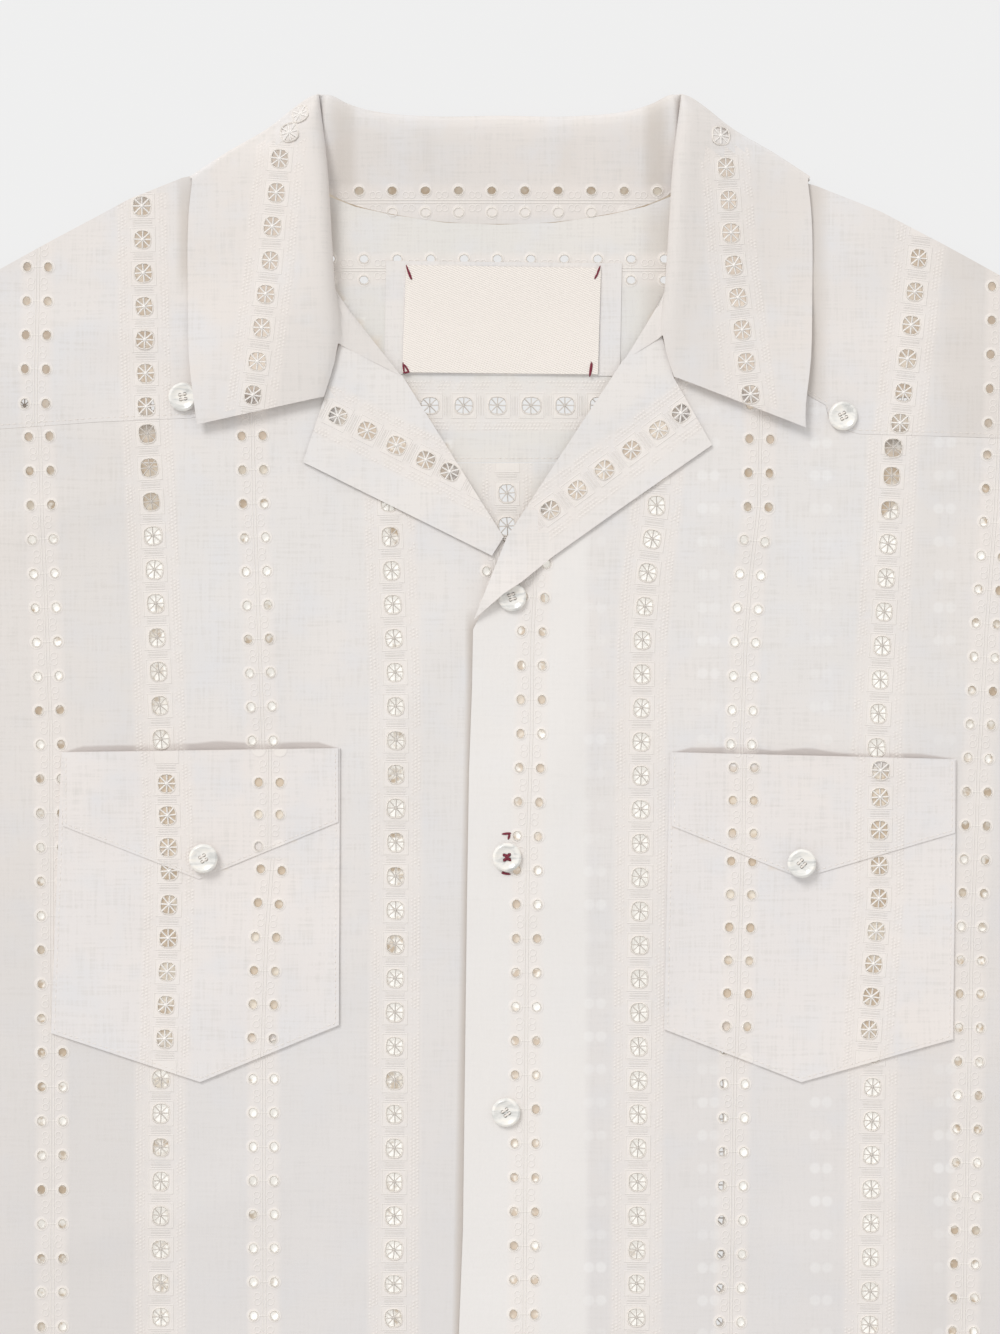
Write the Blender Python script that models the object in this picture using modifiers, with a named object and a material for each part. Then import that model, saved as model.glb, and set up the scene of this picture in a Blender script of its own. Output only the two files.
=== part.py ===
"""Camp-collar shirt in eyelet-embroidered cotton, buttoned and laid flat on its back.

X runs across the chest, Y runs from the hem up to the collar, Z is up. Left and right are as seen
from above the front, so the names' right side is the wearer's left.
The origin is on the surface that the shirt lies on, under the middle of its outline.
All sizes and places below are millimetres and become metres when a mesh is made.
"""
import math
from collections import namedtuple

import bmesh
import bpy
from mathutils import Vector

WALL = 1.0
GAP = 0.3
STEP = WALL + GAP

BODY_TOP = 357.2
HEM_Y = -356.7
HALF_CHEST = 290.0
UNDERARM_Y = 39.8
HALF_SHOULDER = 245.0
SHOULDER_TIP_Y = 264.4
CUFF_TOP = (446.0, 123.8)
CUFF_BOTTOM = (334.0, -36.2)
BACK_YOKE_SEAM_Y = 210.0

EYELET_PITCH = 13.7
POCKET_PITCH = 12.7
EYELET_WIDTH = 7.0
EYELET_HEIGHT = 7.6
FIRST_EYELET_Y = 218.8
EDGE_MARGIN = 7.5

GRID_X = 24.0
GRID_X_START = 20.0
GRID_Y = 2.0 * EYELET_PITCH
GRID_Y_START = FIRST_EYELET_Y + 5.5 * EYELET_PITCH

FALL_LIFT_FULL_Y = GRID_Y_START
FALL_LIFT_NONE_Y = GRID_Y_START - GRID_Y
FALL_LIFT_FULL_X = GRID_X_START - 7.0 * GRID_X
FALL_LIFT_NONE_X = GRID_X_START - 8.0 * GRID_X

PLACKET_LIFT_FULL_X = GRID_X_START
PLACKET_LIFT_NONE_X = GRID_X_START + GRID_X

BUTTON_RADIUS = 5.75
BUTTON_STEPS = 14
BUTTON_PITCH = 103.2
FIRST_BUTTON = (4.8, 156.0)
SECOND_BUTTON = (2.8, 52.0)
THIRD_BUTTON = (2.4, -50.0)
POCKET_BUTTON = {"left": (-118.4, 51.6), "right": (120.4, 49.6)}
YOKE_BUTTON = {"left": (-126.8, 236.0), "right": (137.2, 228.4)}
BUTTON_RISE = 3.6
BUTTON_RISE_REACH = 12.0

Fold = namedtuple("Fold", "x y angle reach width height")
SOFT_FOLDS = (
    Fold(-205.0, 250.0, -28.0, 60.0, 20.0, 2.2),
    Fold(212.0, 248.0, 24.0, 55.0, 20.0, 2.0),
    Fold(-245.0, 20.0, 38.0, 80.0, 22.0, 2.6),
    Fold(252.0, 22.0, -38.0, 80.0, 21.0, 2.4),
    Fold(-215.0, -190.0, 82.0, 120.0, 24.0, 1.8),
    Fold(80.0, -170.0, 96.0, 110.0, 22.0, 1.4),
    Fold(225.0, -250.0, 78.0, 90.0, 24.0, 2.0),
    Fold(-75.0, -270.0, 101.0, 80.0, 22.0, 1.5),
    Fold(-350.0, 120.0, 48.0, 80.0, 22.0, 3.0),
    Fold(345.0, 60.0, -58.0, 85.0, 22.0, 2.8),
)

Column = namedtuple("Column", "side top_x pocket_x hem_x")
EYELET_COLUMNS = (
    Column("left", -232.0, -232.0, -230.0),
    Column("left", -141.4, -136.0, -136.0),
    Column("left", -44.8, -41.6, -43.6),
    Column("right", 60.0, 56.4, 52.6),
    Column("right", 159.0, 150.8, 145.0),
    Column("right", 250.0, 250.0, 248.0),
)
COLUMN_TOP_Y = 218.8
COLUMN_POCKET_Y = 98.8

SHOULDER = ((94.0, 333.0), (107.0, 326.4), (122.0, 319.0), (126.5, 318.6), (152.0, 310.0),
            (176.0, 297.5), (200.0, 285.5))
NECK_SIDE = ((70.5, 282.0), (74.0, 300.0), (75.6, 316.0), (77.5, 337.0))
BACK_NECK = ((0.0, 304.4), (22.0, 305.2), (43.0, 308.2), (58.0, 311.2), (68.0, 315.0), (73.0, 321.0))
ARMHOLE = ((240.5, 222.0), (243.0, 150.0), (257.0, 85.0), (HALF_CHEST, UNDERARM_Y))
ARMHOLE_AT_YOKE_X = 240.5

GORGE = {"left": (-39.6, 244.4), "right": (49.6, 250.4)}
FOLD_AT_GORGE = {"left": (-64.8, 257.2), "right": (65.2, 260.4)}
NOTCH = {"left": (-70.4, 236.0), "right": (69.6, 244.0)}
COLLAR_POINT = {"left": (-120.8, 224.8), "right": (122.0, 223.6)}
LAPEL_POINT = {"left": (-78.8, 210.0), "right": (84.8, 216.8)}
ROLL_CROSSING = (2.8, 180.0)
ROLL_END = (-10.4, 148.0)
UNDER_FRONT_EDGE_X = 18.0
UNDER_ROLL_END_Y = 158.0
RIGHT_LAPEL_EDGE = ((44.0, 188.4), (20.7, 171.8), (8.7, 162.0), (1.4, 157.2), (-2.3, 154.0))
PLACKET_EDGE = ((-11.2, 119.2), (-12.4, 86.0), (-13.2, 34.8), (-14.8, -96.8), (-16.4, -137.6))

YOKE_SEAM = {
    "left": ((-240.5, 222.4), (-200.0, 223.2), (-160.0, 226.0), (-124.0, 227.6), (-112.0, 230.0),
             (-107.0, 237.0), (-96.0, 243.0), (-54.1, 262.0)),
    "right": ((240.5, 219.0), (200.0, 219.6), (144.0, 221.2), (134.0, 224.8), (130.4, 232.8),
              (123.2, 236.8), (100.0, 245.0), (57.3, 262.0)),
}

Pocket = namedtuple("Pocket", "top_outer top_inner bottom_inner tip bottom_outer")
POCKETS = {
    "left": Pocket((-175.2, 94.0), (-64.0, 95.6), (-64.4, -15.2), (-120.0, -38.0), (-179.6, -18.4)),
    "right": Pocket((182.4, 91.2), (68.0, 94.0), (65.6, -16.8), (120.4, -38.0), (181.2, -20.8)),
}
FACING_DEPTH_SIDE = 29.5
FACING_TIP = {"left": (-120.4, 43.2), "right": (120.4, 43.6)}
POCKET_EYELET_X = {"left": -133.2, "right": 150.0}
POCKET_EYELET_TOP_Y = {"left": 81.6, "right": 76.0}
POCKET_EYELET_COUNT = 9
POCKET_GAPE = 1.6
POCKET_GAPE_DEPTH = 40.0

LABEL_CORNERS = ((-37.6, 288.8), (40.4, 287.6), (39.2, 245.2), (-39.2, 246.0))

Section = namedtuple("Section", "seam edge outer edge_z turn")
BACK_SECTIONS = (
    Section((0.0, 305.4), (0.0, 348.0), (0.0, 303.0), 4.7, -1.0),
    Section((22.0, 306.2), (24.0, 347.6), (28.0, 303.2), 4.7, -1.0),
    Section((43.6, 309.4), (46.0, 349.0), (60.0, 304.4), 4.8, -1.0),
    Section((57.0, 312.6), (59.0, 352.0), (88.0, 306.5), 5.0, -1.0),
    Section((66.0, 316.2), (66.0, 355.4), (108.0, 312.0), 5.4, -1.0),
)
SIDE_SECTIONS = (
    Section((75.0, 331.0), (71.6, 348.0), (124.2, 311.0), 8.6, 1.0),
    Section((74.2, 316.0), (69.2, 328.0), (124.8, 297.0), 9.2, 1.0),
    Section((72.6, 300.0), (67.8, 305.0), (124.8, 276.0), 8.8, 1.0),
    Section((68.4, 282.0), (66.4, 281.0), (124.2, 252.0), 7.4, 1.0),
)
WRAP_SEAM = ((69.6, 319.0), (75.2, 326.0))
WRAP_EDGE = ((68.4, 356.2), (72.4, 355.6))
WRAP_EDGE_Z = (5.6, 8.0)
WRAP_ANGLES = (-90.0, -45.0, 0.0, 45.0, 90.0)
WRAP_RADIUS = 2.3
WRAP_MIDDLE_Z = (5.8, 2.75)
LEAF_RIDGE = ((72.0, 356.6), (78.0, 354.6), (86.0, 346.4), (95.2, 336.6), (108.0, 330.4), (124.0, 322.2))
GORGE_EDGE_Z = 6.0
NOTCH_EDGE_Z = 4.9
POINT_SPRING = 3.4
SPRING_START_Y = 276.0
SPRING_FULL_Y = 233.0
STAND_SHARES = (0.0, 0.42, 0.88)
LEAF_SHARES = (0.06, 0.2, 0.42, 0.7, 1.0)
ROLL_HALF_HEIGHT = 2.9
LEAF_EYELETS = {
    "left": ((-89.2, 316.8), (-99.2, 237.2)),
    "right": ((89.6, 318.8), (100.0, 237.6)),
}
LEAF_EYELET_COUNT = 7
LAPEL_EYELETS = {
    "left": ((-64.8, 228.4), (-28.0, 209.8), 4),
    "right": ((63.6, 222.8), (20.0, 190.8), 5),
}
BACK_YOKE_EYELETS = ((-41.6, 232.8), (39.6, 232.8), 7)
BACK_PANEL_EYELETS = ((2.8, 197.6), (2.8, 184.0), 2)

COTTON = (0.83, 0.80, 0.77, 1.0)
TWILL = (0.86, 0.81, 0.74, 1.0)
PEARL = (0.84, 0.80, 0.72, 1.0)


def metres(point):
    return Vector([0.001 * value for value in point])


def ramp(value, start, end):
    """Share of the way from start to end, held between 0 and 1."""
    return min(1.0, max(0.0, (value - start) / (end - start)))


def mix(first, second, share):
    return tuple(a + (b - a) * share for a, b in zip(first, second))


def mirrored(points, side):
    sign = -1.0 if side == "left" else 1.0
    return [(sign * x, y) for x, y in points]


def smooth_curve(points, steps):
    """Points of a Catmull-Rom curve through the given ones."""
    padded = [points[0], *points, points[-1]]
    curve = []
    for a, b, c, d in zip(padded, padded[1:], padded[2:], padded[3:]):
        for index in range(steps):
            t = index / steps
            curve.append(tuple(
                0.5 * (2.0 * q + (r - p) * t + (2.0 * p - 5.0 * q + 4.0 * r - s) * t * t
                       + (3.0 * q - p - 3.0 * r + s) * t ** 3)
                for p, q, r, s in zip(a, b, c, d)))
    curve.append(tuple(points[-1]))
    return curve


def along(points, share):
    """Point at a share of a polyline's length."""
    lengths = [math.dist(a, b) for a, b in zip(points, points[1:])]
    left = share * sum(lengths)
    for (start, end), length in zip(zip(points, points[1:]), lengths):
        if left <= length:
            return mix(start, end, left / length)
        left -= length
    return points[-1]


def back_height(x, y):
    """Underside of the back: flat on the surface, raised where the collar's fall lies under it."""
    across = ramp(-abs(x), FALL_LIFT_NONE_X, FALL_LIFT_FULL_X)
    return STEP * across * ramp(y, FALL_LIFT_NONE_Y, FALL_LIFT_FULL_Y)


def fold_height(x, y):
    total = 0.0
    for fold in SOFT_FOLDS:
        turn = math.radians(fold.angle)
        dx = x - fold.x
        dy = y - fold.y
        lengthwise = dx * math.cos(turn) + dy * math.sin(turn)
        sideways = dy * math.cos(turn) - dx * math.sin(turn)
        total += fold.height * math.exp(-(lengthwise / fold.reach) ** 2 - (sideways / fold.width) ** 2)
    return total


def front_height(x, y):
    """Underside of the layer that lies on the back."""
    return back_height(x, y) + STEP + fold_height(x, y)


def over_front_height(x, y):
    """Underside of the buttoned front, raised where it lies on the other front."""
    return front_height(x, y) + STEP * ramp(-x, -PLACKET_LIFT_NONE_X, -PLACKET_LIFT_FULL_X)


def left_lapel_height(x, y):
    return front_height(x, y) + STEP


def right_lapel_height(x, y):
    reach = math.dist((x, y), FIRST_BUTTON) / BUTTON_RISE_REACH
    return over_front_height(x, y) + STEP + BUTTON_RISE * math.exp(-reach * reach)


def pocket_gape(side, x, y):
    pocket = POCKETS[side]
    middle = 0.5 * (pocket.top_outer[0] + pocket.top_inner[0])
    half = 0.5 * abs(pocket.top_outer[0] - pocket.top_inner[0])
    top = 0.5 * (pocket.top_outer[1] + pocket.top_inner[1])
    across = max(0.0, 1.0 - ((x - middle) / half) ** 2)
    return POCKET_GAPE * across * ramp(y, top - POCKET_GAPE_DEPTH, top)


def make_material(name, colour, roughness):
    material = bpy.data.materials.new(name)
    material.use_nodes = True
    shader = material.node_tree.nodes["Principled BSDF"]
    shader.inputs["Base Color"].default_value = colour
    shader.inputs["Roughness"].default_value = roughness
    shader.inputs["Metallic"].default_value = 0.0
    return material


def add_object(name, mesh, collection, material=None):
    shape = bpy.data.objects.new(name, mesh)
    collection.objects.link(shape)
    if material:
        shape.data.materials.append(material)
    return shape


def outline_mesh(name, outline, bottom, top):
    """Closed prism of a flat outline between two heights."""
    curve = bpy.data.curves.new(name + "_outline", "CURVE")
    curve.dimensions = "2D"
    curve.fill_mode = "BOTH"
    curve.extrude = 0.0005 * (top - bottom)
    spline = curve.splines.new("POLY")
    spline.points.add(len(outline) - 1)
    for point, (x, y) in zip(spline.points, outline):
        point.co = (0.001 * x, 0.001 * y, 0.0, 1.0)
    spline.use_cyclic_u = True
    guide = bpy.data.objects.new(name + "_outline", curve)
    bpy.context.scene.collection.objects.link(guide)
    depsgraph = bpy.context.evaluated_depsgraph_get()
    mesh = bpy.data.meshes.new_from_object(guide.evaluated_get(depsgraph))
    bpy.data.objects.remove(guide)
    bpy.data.curves.remove(curve)
    shape = bmesh.new()
    shape.from_mesh(mesh)
    bmesh.ops.remove_doubles(shape, verts=shape.verts, dist=1e-6)
    bmesh.ops.translate(shape, verts=shape.verts, vec=(0.0, 0.0, 0.0005 * (top + bottom)))
    bmesh.ops.recalc_face_normals(shape, faces=shape.faces)
    bmesh.ops.dissolve_limit(shape, angle_limit=0.0005, verts=shape.verts, edges=shape.edges)
    shape.to_mesh(mesh)
    shape.free()
    mesh.name = name
    return mesh


def cut_grid(mesh, outline):
    """Divides a flat prism along the shared grid lines, so that stacked layers bend alike."""
    shape = bmesh.new()
    shape.from_mesh(mesh)
    for axis, start, pitch in ((0, GRID_X_START, GRID_X), (1, GRID_Y_START, GRID_Y)):
        low = min(point[axis] for point in outline)
        high = max(point[axis] for point in outline)
        line = start + pitch * math.ceil((low - start) / pitch)
        while line < high:
            place = [0.0, 0.0, 0.0]
            place[axis] = 0.001 * line
            normal = [0.0, 0.0, 0.0]
            normal[axis] = 1.0
            parts = shape.verts[:] + shape.edges[:] + shape.faces[:]
            bmesh.ops.bisect_plane(shape, geom=parts, dist=1e-7, plane_co=place, plane_no=normal)
            line += pitch
    shape.to_mesh(mesh)
    shape.free()


def eyelet_outline(x, y, turn=0.0):
    corners = ((1.0, 1.0), (-1.0, 1.0), (-1.0, -1.0), (1.0, -1.0))
    outline = []
    for sx, sy in corners:
        dx = 0.5 * EYELET_WIDTH * sx
        dy = 0.5 * EYELET_HEIGHT * sy
        outline.append((x + dx * math.cos(turn) - dy * math.sin(turn),
                        y + dx * math.sin(turn) + dy * math.cos(turn)))
    return outline


def eyelet_cutter(name, places, bottom, top, collection, turn=0.0):
    """One object holding a square prism for each eyelet."""
    joined = bmesh.new()
    for x, y in places:
        prism = outline_mesh(name, eyelet_outline(x, y, turn), bottom, top)
        joined.from_mesh(prism)
        bpy.data.meshes.remove(prism)
    mesh = bpy.data.meshes.new(name)
    joined.to_mesh(mesh)
    joined.free()
    cutter = add_object(name, mesh, collection)
    cutter.hide_render = True
    cutter.display_type = "WIRE"
    return cutter


def cut_eyelets(shape, cutter):
    modifier = shape.modifiers.new("eyelets", "BOOLEAN")
    modifier.operation = "DIFFERENCE"
    modifier.object = cutter


def apply_modifiers(shape):
    depsgraph = bpy.context.evaluated_depsgraph_get()
    mesh = bpy.data.meshes.new_from_object(shape.evaluated_get(depsgraph))
    shape.modifiers.clear()
    shape.data = mesh


def bend(mesh, height):
    """Moves each point of a flat panel up by the height under it."""
    shape = bmesh.new()
    shape.from_mesh(mesh)
    bmesh.ops.triangulate(shape, faces=shape.faces)
    for vertex in shape.verts:
        vertex.co.z += 0.001 * height(1000.0 * vertex.co.x, 1000.0 * vertex.co.y)
    shape.to_mesh(mesh)
    shape.free()


def cut_panel(shape, places, turn=0.0):
    if places:
        cutter = eyelet_cutter(shape.name + "_eyelets", places, -WALL, 2.0 * WALL, cutters, turn)
        cut_eyelets(shape, cutter)
        apply_modifiers(shape)


def flat_panel(name, outline, material, places=()):
    """A wall of cloth that rests flat on the surface, with its eyelets cut through."""
    shape = add_object(name, outline_mesh(name, outline, 0.0, WALL), parts, material)
    cut_panel(shape, places)


def bent_panel(name, outline, height, material, places=(), turn=0.0):
    """A wall of cloth with its eyelets cut through, bent over what it lies on."""
    shape = add_object(name, outline_mesh(name, outline, 0.0, WALL), parts, material)
    cut_grid(shape.data, outline)
    cut_panel(shape, places, turn)
    bend(shape.data, height)


def inside(outline, x, y):
    """True where the point is within the outline and clear of its edge."""
    crossings = 0
    for (ax, ay), (bx, by) in zip(outline, [*outline[1:], outline[0]]):
        if (ay > y) != (by > y) and x < ax + (y - ay) * (bx - ax) / (by - ay):
            crossings += 1
        length = math.dist((ax, ay), (bx, by))
        share = min(1.0, max(0.0, ((x - ax) * (bx - ax) + (y - ay) * (by - ay)) / length ** 2))
        if math.dist((x, y), mix((ax, ay), (bx, by), share)) < EDGE_MARGIN:
            return False
    return crossings % 2 == 1


def column_x(column, y):
    if y > COLUMN_POCKET_Y:
        share = (COLUMN_TOP_Y - y) / (COLUMN_TOP_Y - COLUMN_POCKET_Y)
        return column.top_x + (column.pocket_x - column.top_x) * share
    share = (COLUMN_POCKET_Y - y) / (COLUMN_POCKET_Y - HEM_Y)
    return column.pocket_x + (column.hem_x - column.pocket_x) * share


def column_places(outline, side, covers=()):
    """Eyelets of the broad embroidered stripes that fall on a panel and aren't under a cover."""
    places = []
    for column in EYELET_COLUMNS:
        if column.side != side:
            continue
        first = int((FIRST_EYELET_Y - BODY_TOP) / EYELET_PITCH)
        last = int((FIRST_EYELET_Y - HEM_Y) / EYELET_PITCH)
        for row in range(first, last + 1):
            y = FIRST_EYELET_Y - EYELET_PITCH * row
            x = column_x(column, y)
            if inside(outline, x, y) and not any(inside(cover, x, y) for cover in covers):
                places.append((x, y))
    return places


def line_places(start, end, count):
    return [mix(start, end, index / (count - 1)) for index in range(count)]


def shoulder_line(side):
    return mirrored([NECK_SIDE[-1], *SHOULDER, (HALF_SHOULDER, SHOULDER_TIP_Y)], side)


def armhole(side):
    return mirrored(smooth_curve(ARMHOLE, 3), side)


def pocket_outline(side):
    return list(POCKETS[side])


def front_outline(side):
    """A front from its yoke seam to the hem, with the fold of its lapel as the neck edge."""
    inward = GAP if side == "left" else -GAP
    seam = [(x + inward, y - GAP) for x, y in YOKE_SEAM[side][1:]]
    hole = armhole(side)
    hole[0] = (YOKE_SEAM[side][0][0], YOKE_SEAM[side][0][1] - GAP)
    sign = -1.0 if side == "left" else 1.0
    if side == "left":
        edge = [ROLL_CROSSING, (UNDER_FRONT_EDGE_X, UNDER_ROLL_END_Y), (UNDER_FRONT_EDGE_X, HEM_Y)]
    else:
        edge = [ROLL_CROSSING, ROLL_END, *PLACKET_EDGE, (PLACKET_EDGE[-1][0], HEM_Y)]
    return [*hole, (sign * HALF_CHEST, HEM_Y), *reversed(edge), GORGE[side], *reversed(seam)]


def front_yoke_outline(side):
    sign = -1.0 if side == "left" else 1.0
    neck = mirrored(NECK_SIDE[:-1], side)
    return [*YOKE_SEAM[side], *neck, *shoulder_line(side)]


def back_yoke_outline():
    half = [*mirrored(BACK_NECK[1:], "right"), *shoulder_line("right"),
            ARMHOLE[0], (ARMHOLE_AT_YOKE_X, BACK_YOKE_SEAM_Y)]
    other = [(-x, y) for x, y in reversed(half)]
    return [BACK_NECK[0], *half, *other]


def back_panel_outline():
    hole = armhole("right")
    hole[0] = (ARMHOLE_AT_YOKE_X, BACK_YOKE_SEAM_Y - GAP)
    hole = [point for point in hole if point[1] <= hole[0][1]]
    half = [*hole, (HALF_CHEST, HEM_Y)]
    return [*half, *[(-x, y) for x, y in reversed(half)]]


def sleeve_outline(side):
    hole = [(HALF_SHOULDER, SHOULDER_TIP_Y), *smooth_curve(ARMHOLE, 3)]
    hole = [(x + 2.0 * GAP, y) for x, y in hole]
    return mirrored([*hole, CUFF_BOTTOM, CUFF_TOP], side)


def lapel_outline(side):
    """The turned facing, butted against the collar's end at the gorge."""
    clearance = 1.1
    sign = -1.0 if side == "left" else 1.0
    gorge = (GORGE[side][0], GORGE[side][1] - clearance)
    fold = (FOLD_AT_GORGE[side][0] - sign * clearance, FOLD_AT_GORGE[side][1] - 1.6 * clearance)
    notch = (NOTCH[side][0] - sign * 0.6 * clearance, NOTCH[side][1] - clearance)
    if side == "left":
        return [gorge, fold, notch, LAPEL_POINT[side], (-3.0, 172.4), (1.2, 180.2)]
    return [gorge, fold, notch, LAPEL_POINT[side], *RIGHT_LAPEL_EDGE, ROLL_END, ROLL_CROSSING]


def facing_outline(side):
    pocket = POCKETS[side]
    outer = (pocket.top_outer[0], pocket.top_outer[1] - FACING_DEPTH_SIDE)
    inner = (pocket.top_inner[0], pocket.top_inner[1] - FACING_DEPTH_SIDE)
    inset = 0.6 if side == "left" else -0.6
    return [(pocket.top_outer[0] + inset, pocket.top_outer[1] - 0.4),
            (pocket.top_inner[0] - inset, pocket.top_inner[1] - 0.4),
            (inner[0] - inset, inner[1]), FACING_TIP[side], (outer[0] + inset, outer[1])]


def leaf_edge_height(x, y):
    """Middle of the leaf's wall at its free edge, which springs up towards its point."""
    spring = POINT_SPRING * ramp(-y, -SPRING_START_Y, -SPRING_FULL_Y)
    return front_height(x, y) + STEP + 0.5 * WALL + spring


def collar_path(section, outer_z, seam_z, leaf_line=None):
    """Points across the collar: up the stand, round its roll and down the leaf."""
    below = section.edge_z - ROLL_HALF_HEIGHT * section.turn
    above = section.edge_z + ROLL_HALF_HEIGHT * section.turn
    path = []
    for share in STAND_SHARES:
        x, y = mix(section.seam, section.edge, share)
        path.append((x, y, seam_z + (below - seam_z) * min(1.0, share / STAND_SHARES[-1])))
    path.append((*section.edge, section.edge_z))
    fall = 1.5 if section.turn > 0.0 else 5.0
    for share in LEAF_SHARES:
        x, y = along(leaf_line, share) if leaf_line else mix(section.edge, section.outer, share)
        drop = (1.0 - ramp(share, LEAF_SHARES[0], 1.0)) ** fall
        path.append((x, y, outer_z + (above - outer_z) * drop))
    return path


def wrap_paths():
    """Sections where the leaf turns over the shoulder, from under the back yoke to the front."""
    ridge = smooth_curve(LEAF_RIDGE, 2)
    paths = []
    for index, angle in enumerate(WRAP_ANGLES):
        share = index / (len(WRAP_ANGLES) - 1)
        turn = math.radians(angle)
        section = Section(mix(*WRAP_SEAM, share), mix(*WRAP_EDGE, share), LEAF_RIDGE[-1],
                          WRAP_EDGE_Z[0] + (WRAP_EDGE_Z[1] - WRAP_EDGE_Z[0]) * share, math.sin(turn))
        seam_z = back_height(*section.seam) + 0.5 * WALL + STEP * share
        path = collar_path(section, WRAP_MIDDLE_Z[1], seam_z)
        leaf_start = len(STAND_SHARES) + 1
        for row, leaf_share in enumerate(LEAF_SHARES):
            x, y = along(ridge, leaf_share)
            inset = WRAP_RADIUS * (1.0 - math.cos(turn))
            middle = WRAP_MIDDLE_Z[1] + (WRAP_MIDDLE_Z[0] - WRAP_MIDDLE_Z[1]) * (1.0 - leaf_share) ** 3
            rise = WRAP_RADIUS * math.sin(turn) * (1.0 + 0.6 * (1.0 - leaf_share) ** 3)
            path[leaf_start + row] = (x - 0.45 * inset, y - 0.9 * inset, middle + rise)
        paths.append(path)
    return paths


def half_collar(side):
    """All sections of one side, from the centre back to the notch."""
    paths = []
    for section in BACK_SECTIONS:
        seam_z = back_height(*section.seam) + 0.5 * WALL
        paths.append(collar_path(section, 0.5 * WALL, seam_z))
    paths += wrap_paths()
    for section in SIDE_SECTIONS:
        seam_z = front_height(*section.seam) + 0.5 * WALL
        paths.append(collar_path(section, leaf_edge_height(*section.outer) + GAP, seam_z))
    gorge = Section(*[(abs(x), y) for x, y in (GORGE[side], FOLD_AT_GORGE[side])],
                    (122.0, 233.0), GORGE_EDGE_Z, 0.6)
    notch = Section(*[(abs(x), y) for x, y in (GORGE[side], NOTCH[side], COLLAR_POINT[side])],
                    NOTCH_EDGE_Z, 0.3)
    for section in (gorge, notch):
        seam_z = front_height(*section.seam) + STEP + 0.5 * WALL + GAP
        paths.append(collar_path(section, leaf_edge_height(*section.outer), seam_z))
    sign = -1.0 if side == "left" else 1.0
    return [[(sign * x, y, z) for x, y, z in path] for path in paths]


def make_collar(material):
    """Stand and leaf in one cloth, lofted from the left notch round the back to the right notch."""
    paths = [*reversed(half_collar("left")), *half_collar("right")[1:]]
    shape = bmesh.new()
    grid = [[shape.verts.new(metres(point)) for point in path] for path in paths]
    stand_rows = len(STAND_SHARES)
    last = len(grid) - 2
    for index, (first, second) in enumerate(zip(grid, grid[1:])):
        for row in range(len(first) - 1):
            if index in (0, last) and row < stand_rows:
                continue
            shape.faces.new((first[row], first[row + 1], second[row + 1], second[row]))
    bmesh.ops.delete(shape, geom=[v for v in shape.verts if not v.link_faces], context="VERTS")
    bmesh.ops.recalc_face_normals(shape, faces=shape.faces)
    mesh = bpy.data.meshes.new("collar")
    shape.to_mesh(mesh)
    shape.free()
    collar = add_object("collar", mesh, parts, material)
    solidify = collar.modifiers.new("cloth", "SOLIDIFY")
    solidify.thickness = 0.001 * WALL
    solidify.offset = 0.0
    for side, (start, end) in LEAF_EYELETS.items():
        places = line_places(start, end, LEAF_EYELET_COUNT)
        cutter = eyelet_cutter("collar_eyelets_" + side, places, 4.2, 25.0, cutters)
        cut_eyelets(collar, cutter)
    apply_modifiers(collar)
    return collar


def button_mesh():
    """A dished disc with a raised rim, turned from its profile."""
    profile = ((0.0, 1.4), (4.1, 1.4), (4.7, 2.0), (BUTTON_RADIUS, 1.3), (5.2, 0.0), (0.0, 0.0))
    mesh = bpy.data.meshes.new("button")
    points = [(0.001 * radius, 0.0, 0.001 * height) for radius, height in profile]
    mesh.from_pydata(points, [(index, index + 1) for index in range(len(points) - 1)], [])
    turned = add_object("button_profile", mesh, parts)
    screw = turned.modifiers.new("turn", "SCREW")
    screw.steps = BUTTON_STEPS
    screw.render_steps = BUTTON_STEPS
    screw.use_merge_vertices = True
    screw.merge_threshold = 1e-5
    apply_modifiers(turned)
    button = turned.data
    bpy.data.objects.remove(turned)
    return button


def add_button(name, mesh, place, under, material):
    """Sets a button on the cloth whose underside is at the given height."""
    button = bpy.data.objects.new(name, mesh)
    button.location = metres((*place, under + WALL + GAP))
    parts.objects.link(button)
    if not mesh.materials:
        mesh.materials.append(material)


for old in list(bpy.data.objects):
    bpy.data.objects.remove(old)
parts = bpy.data.collections.new("embroidered_shirt")
cutters = bpy.data.collections.new("cutters")
for group in (parts, cutters):
    bpy.context.scene.collection.children.link(group)

cotton = make_material("eyelet_cotton", COTTON, 0.85)
twill = make_material("label_twill", TWILL, 0.8)
pearl = make_material("mother_of_pearl", PEARL, 0.25)

flat_panel("back_panel", back_panel_outline(), cotton, line_places(*BACK_PANEL_EYELETS))
bent_panel("back_yoke", back_yoke_outline(), back_height, cotton, line_places(*BACK_YOKE_EYELETS))
bent_panel("neck_label", LABEL_CORNERS, lambda x, y: back_height(x, y) + STEP, twill)

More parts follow.
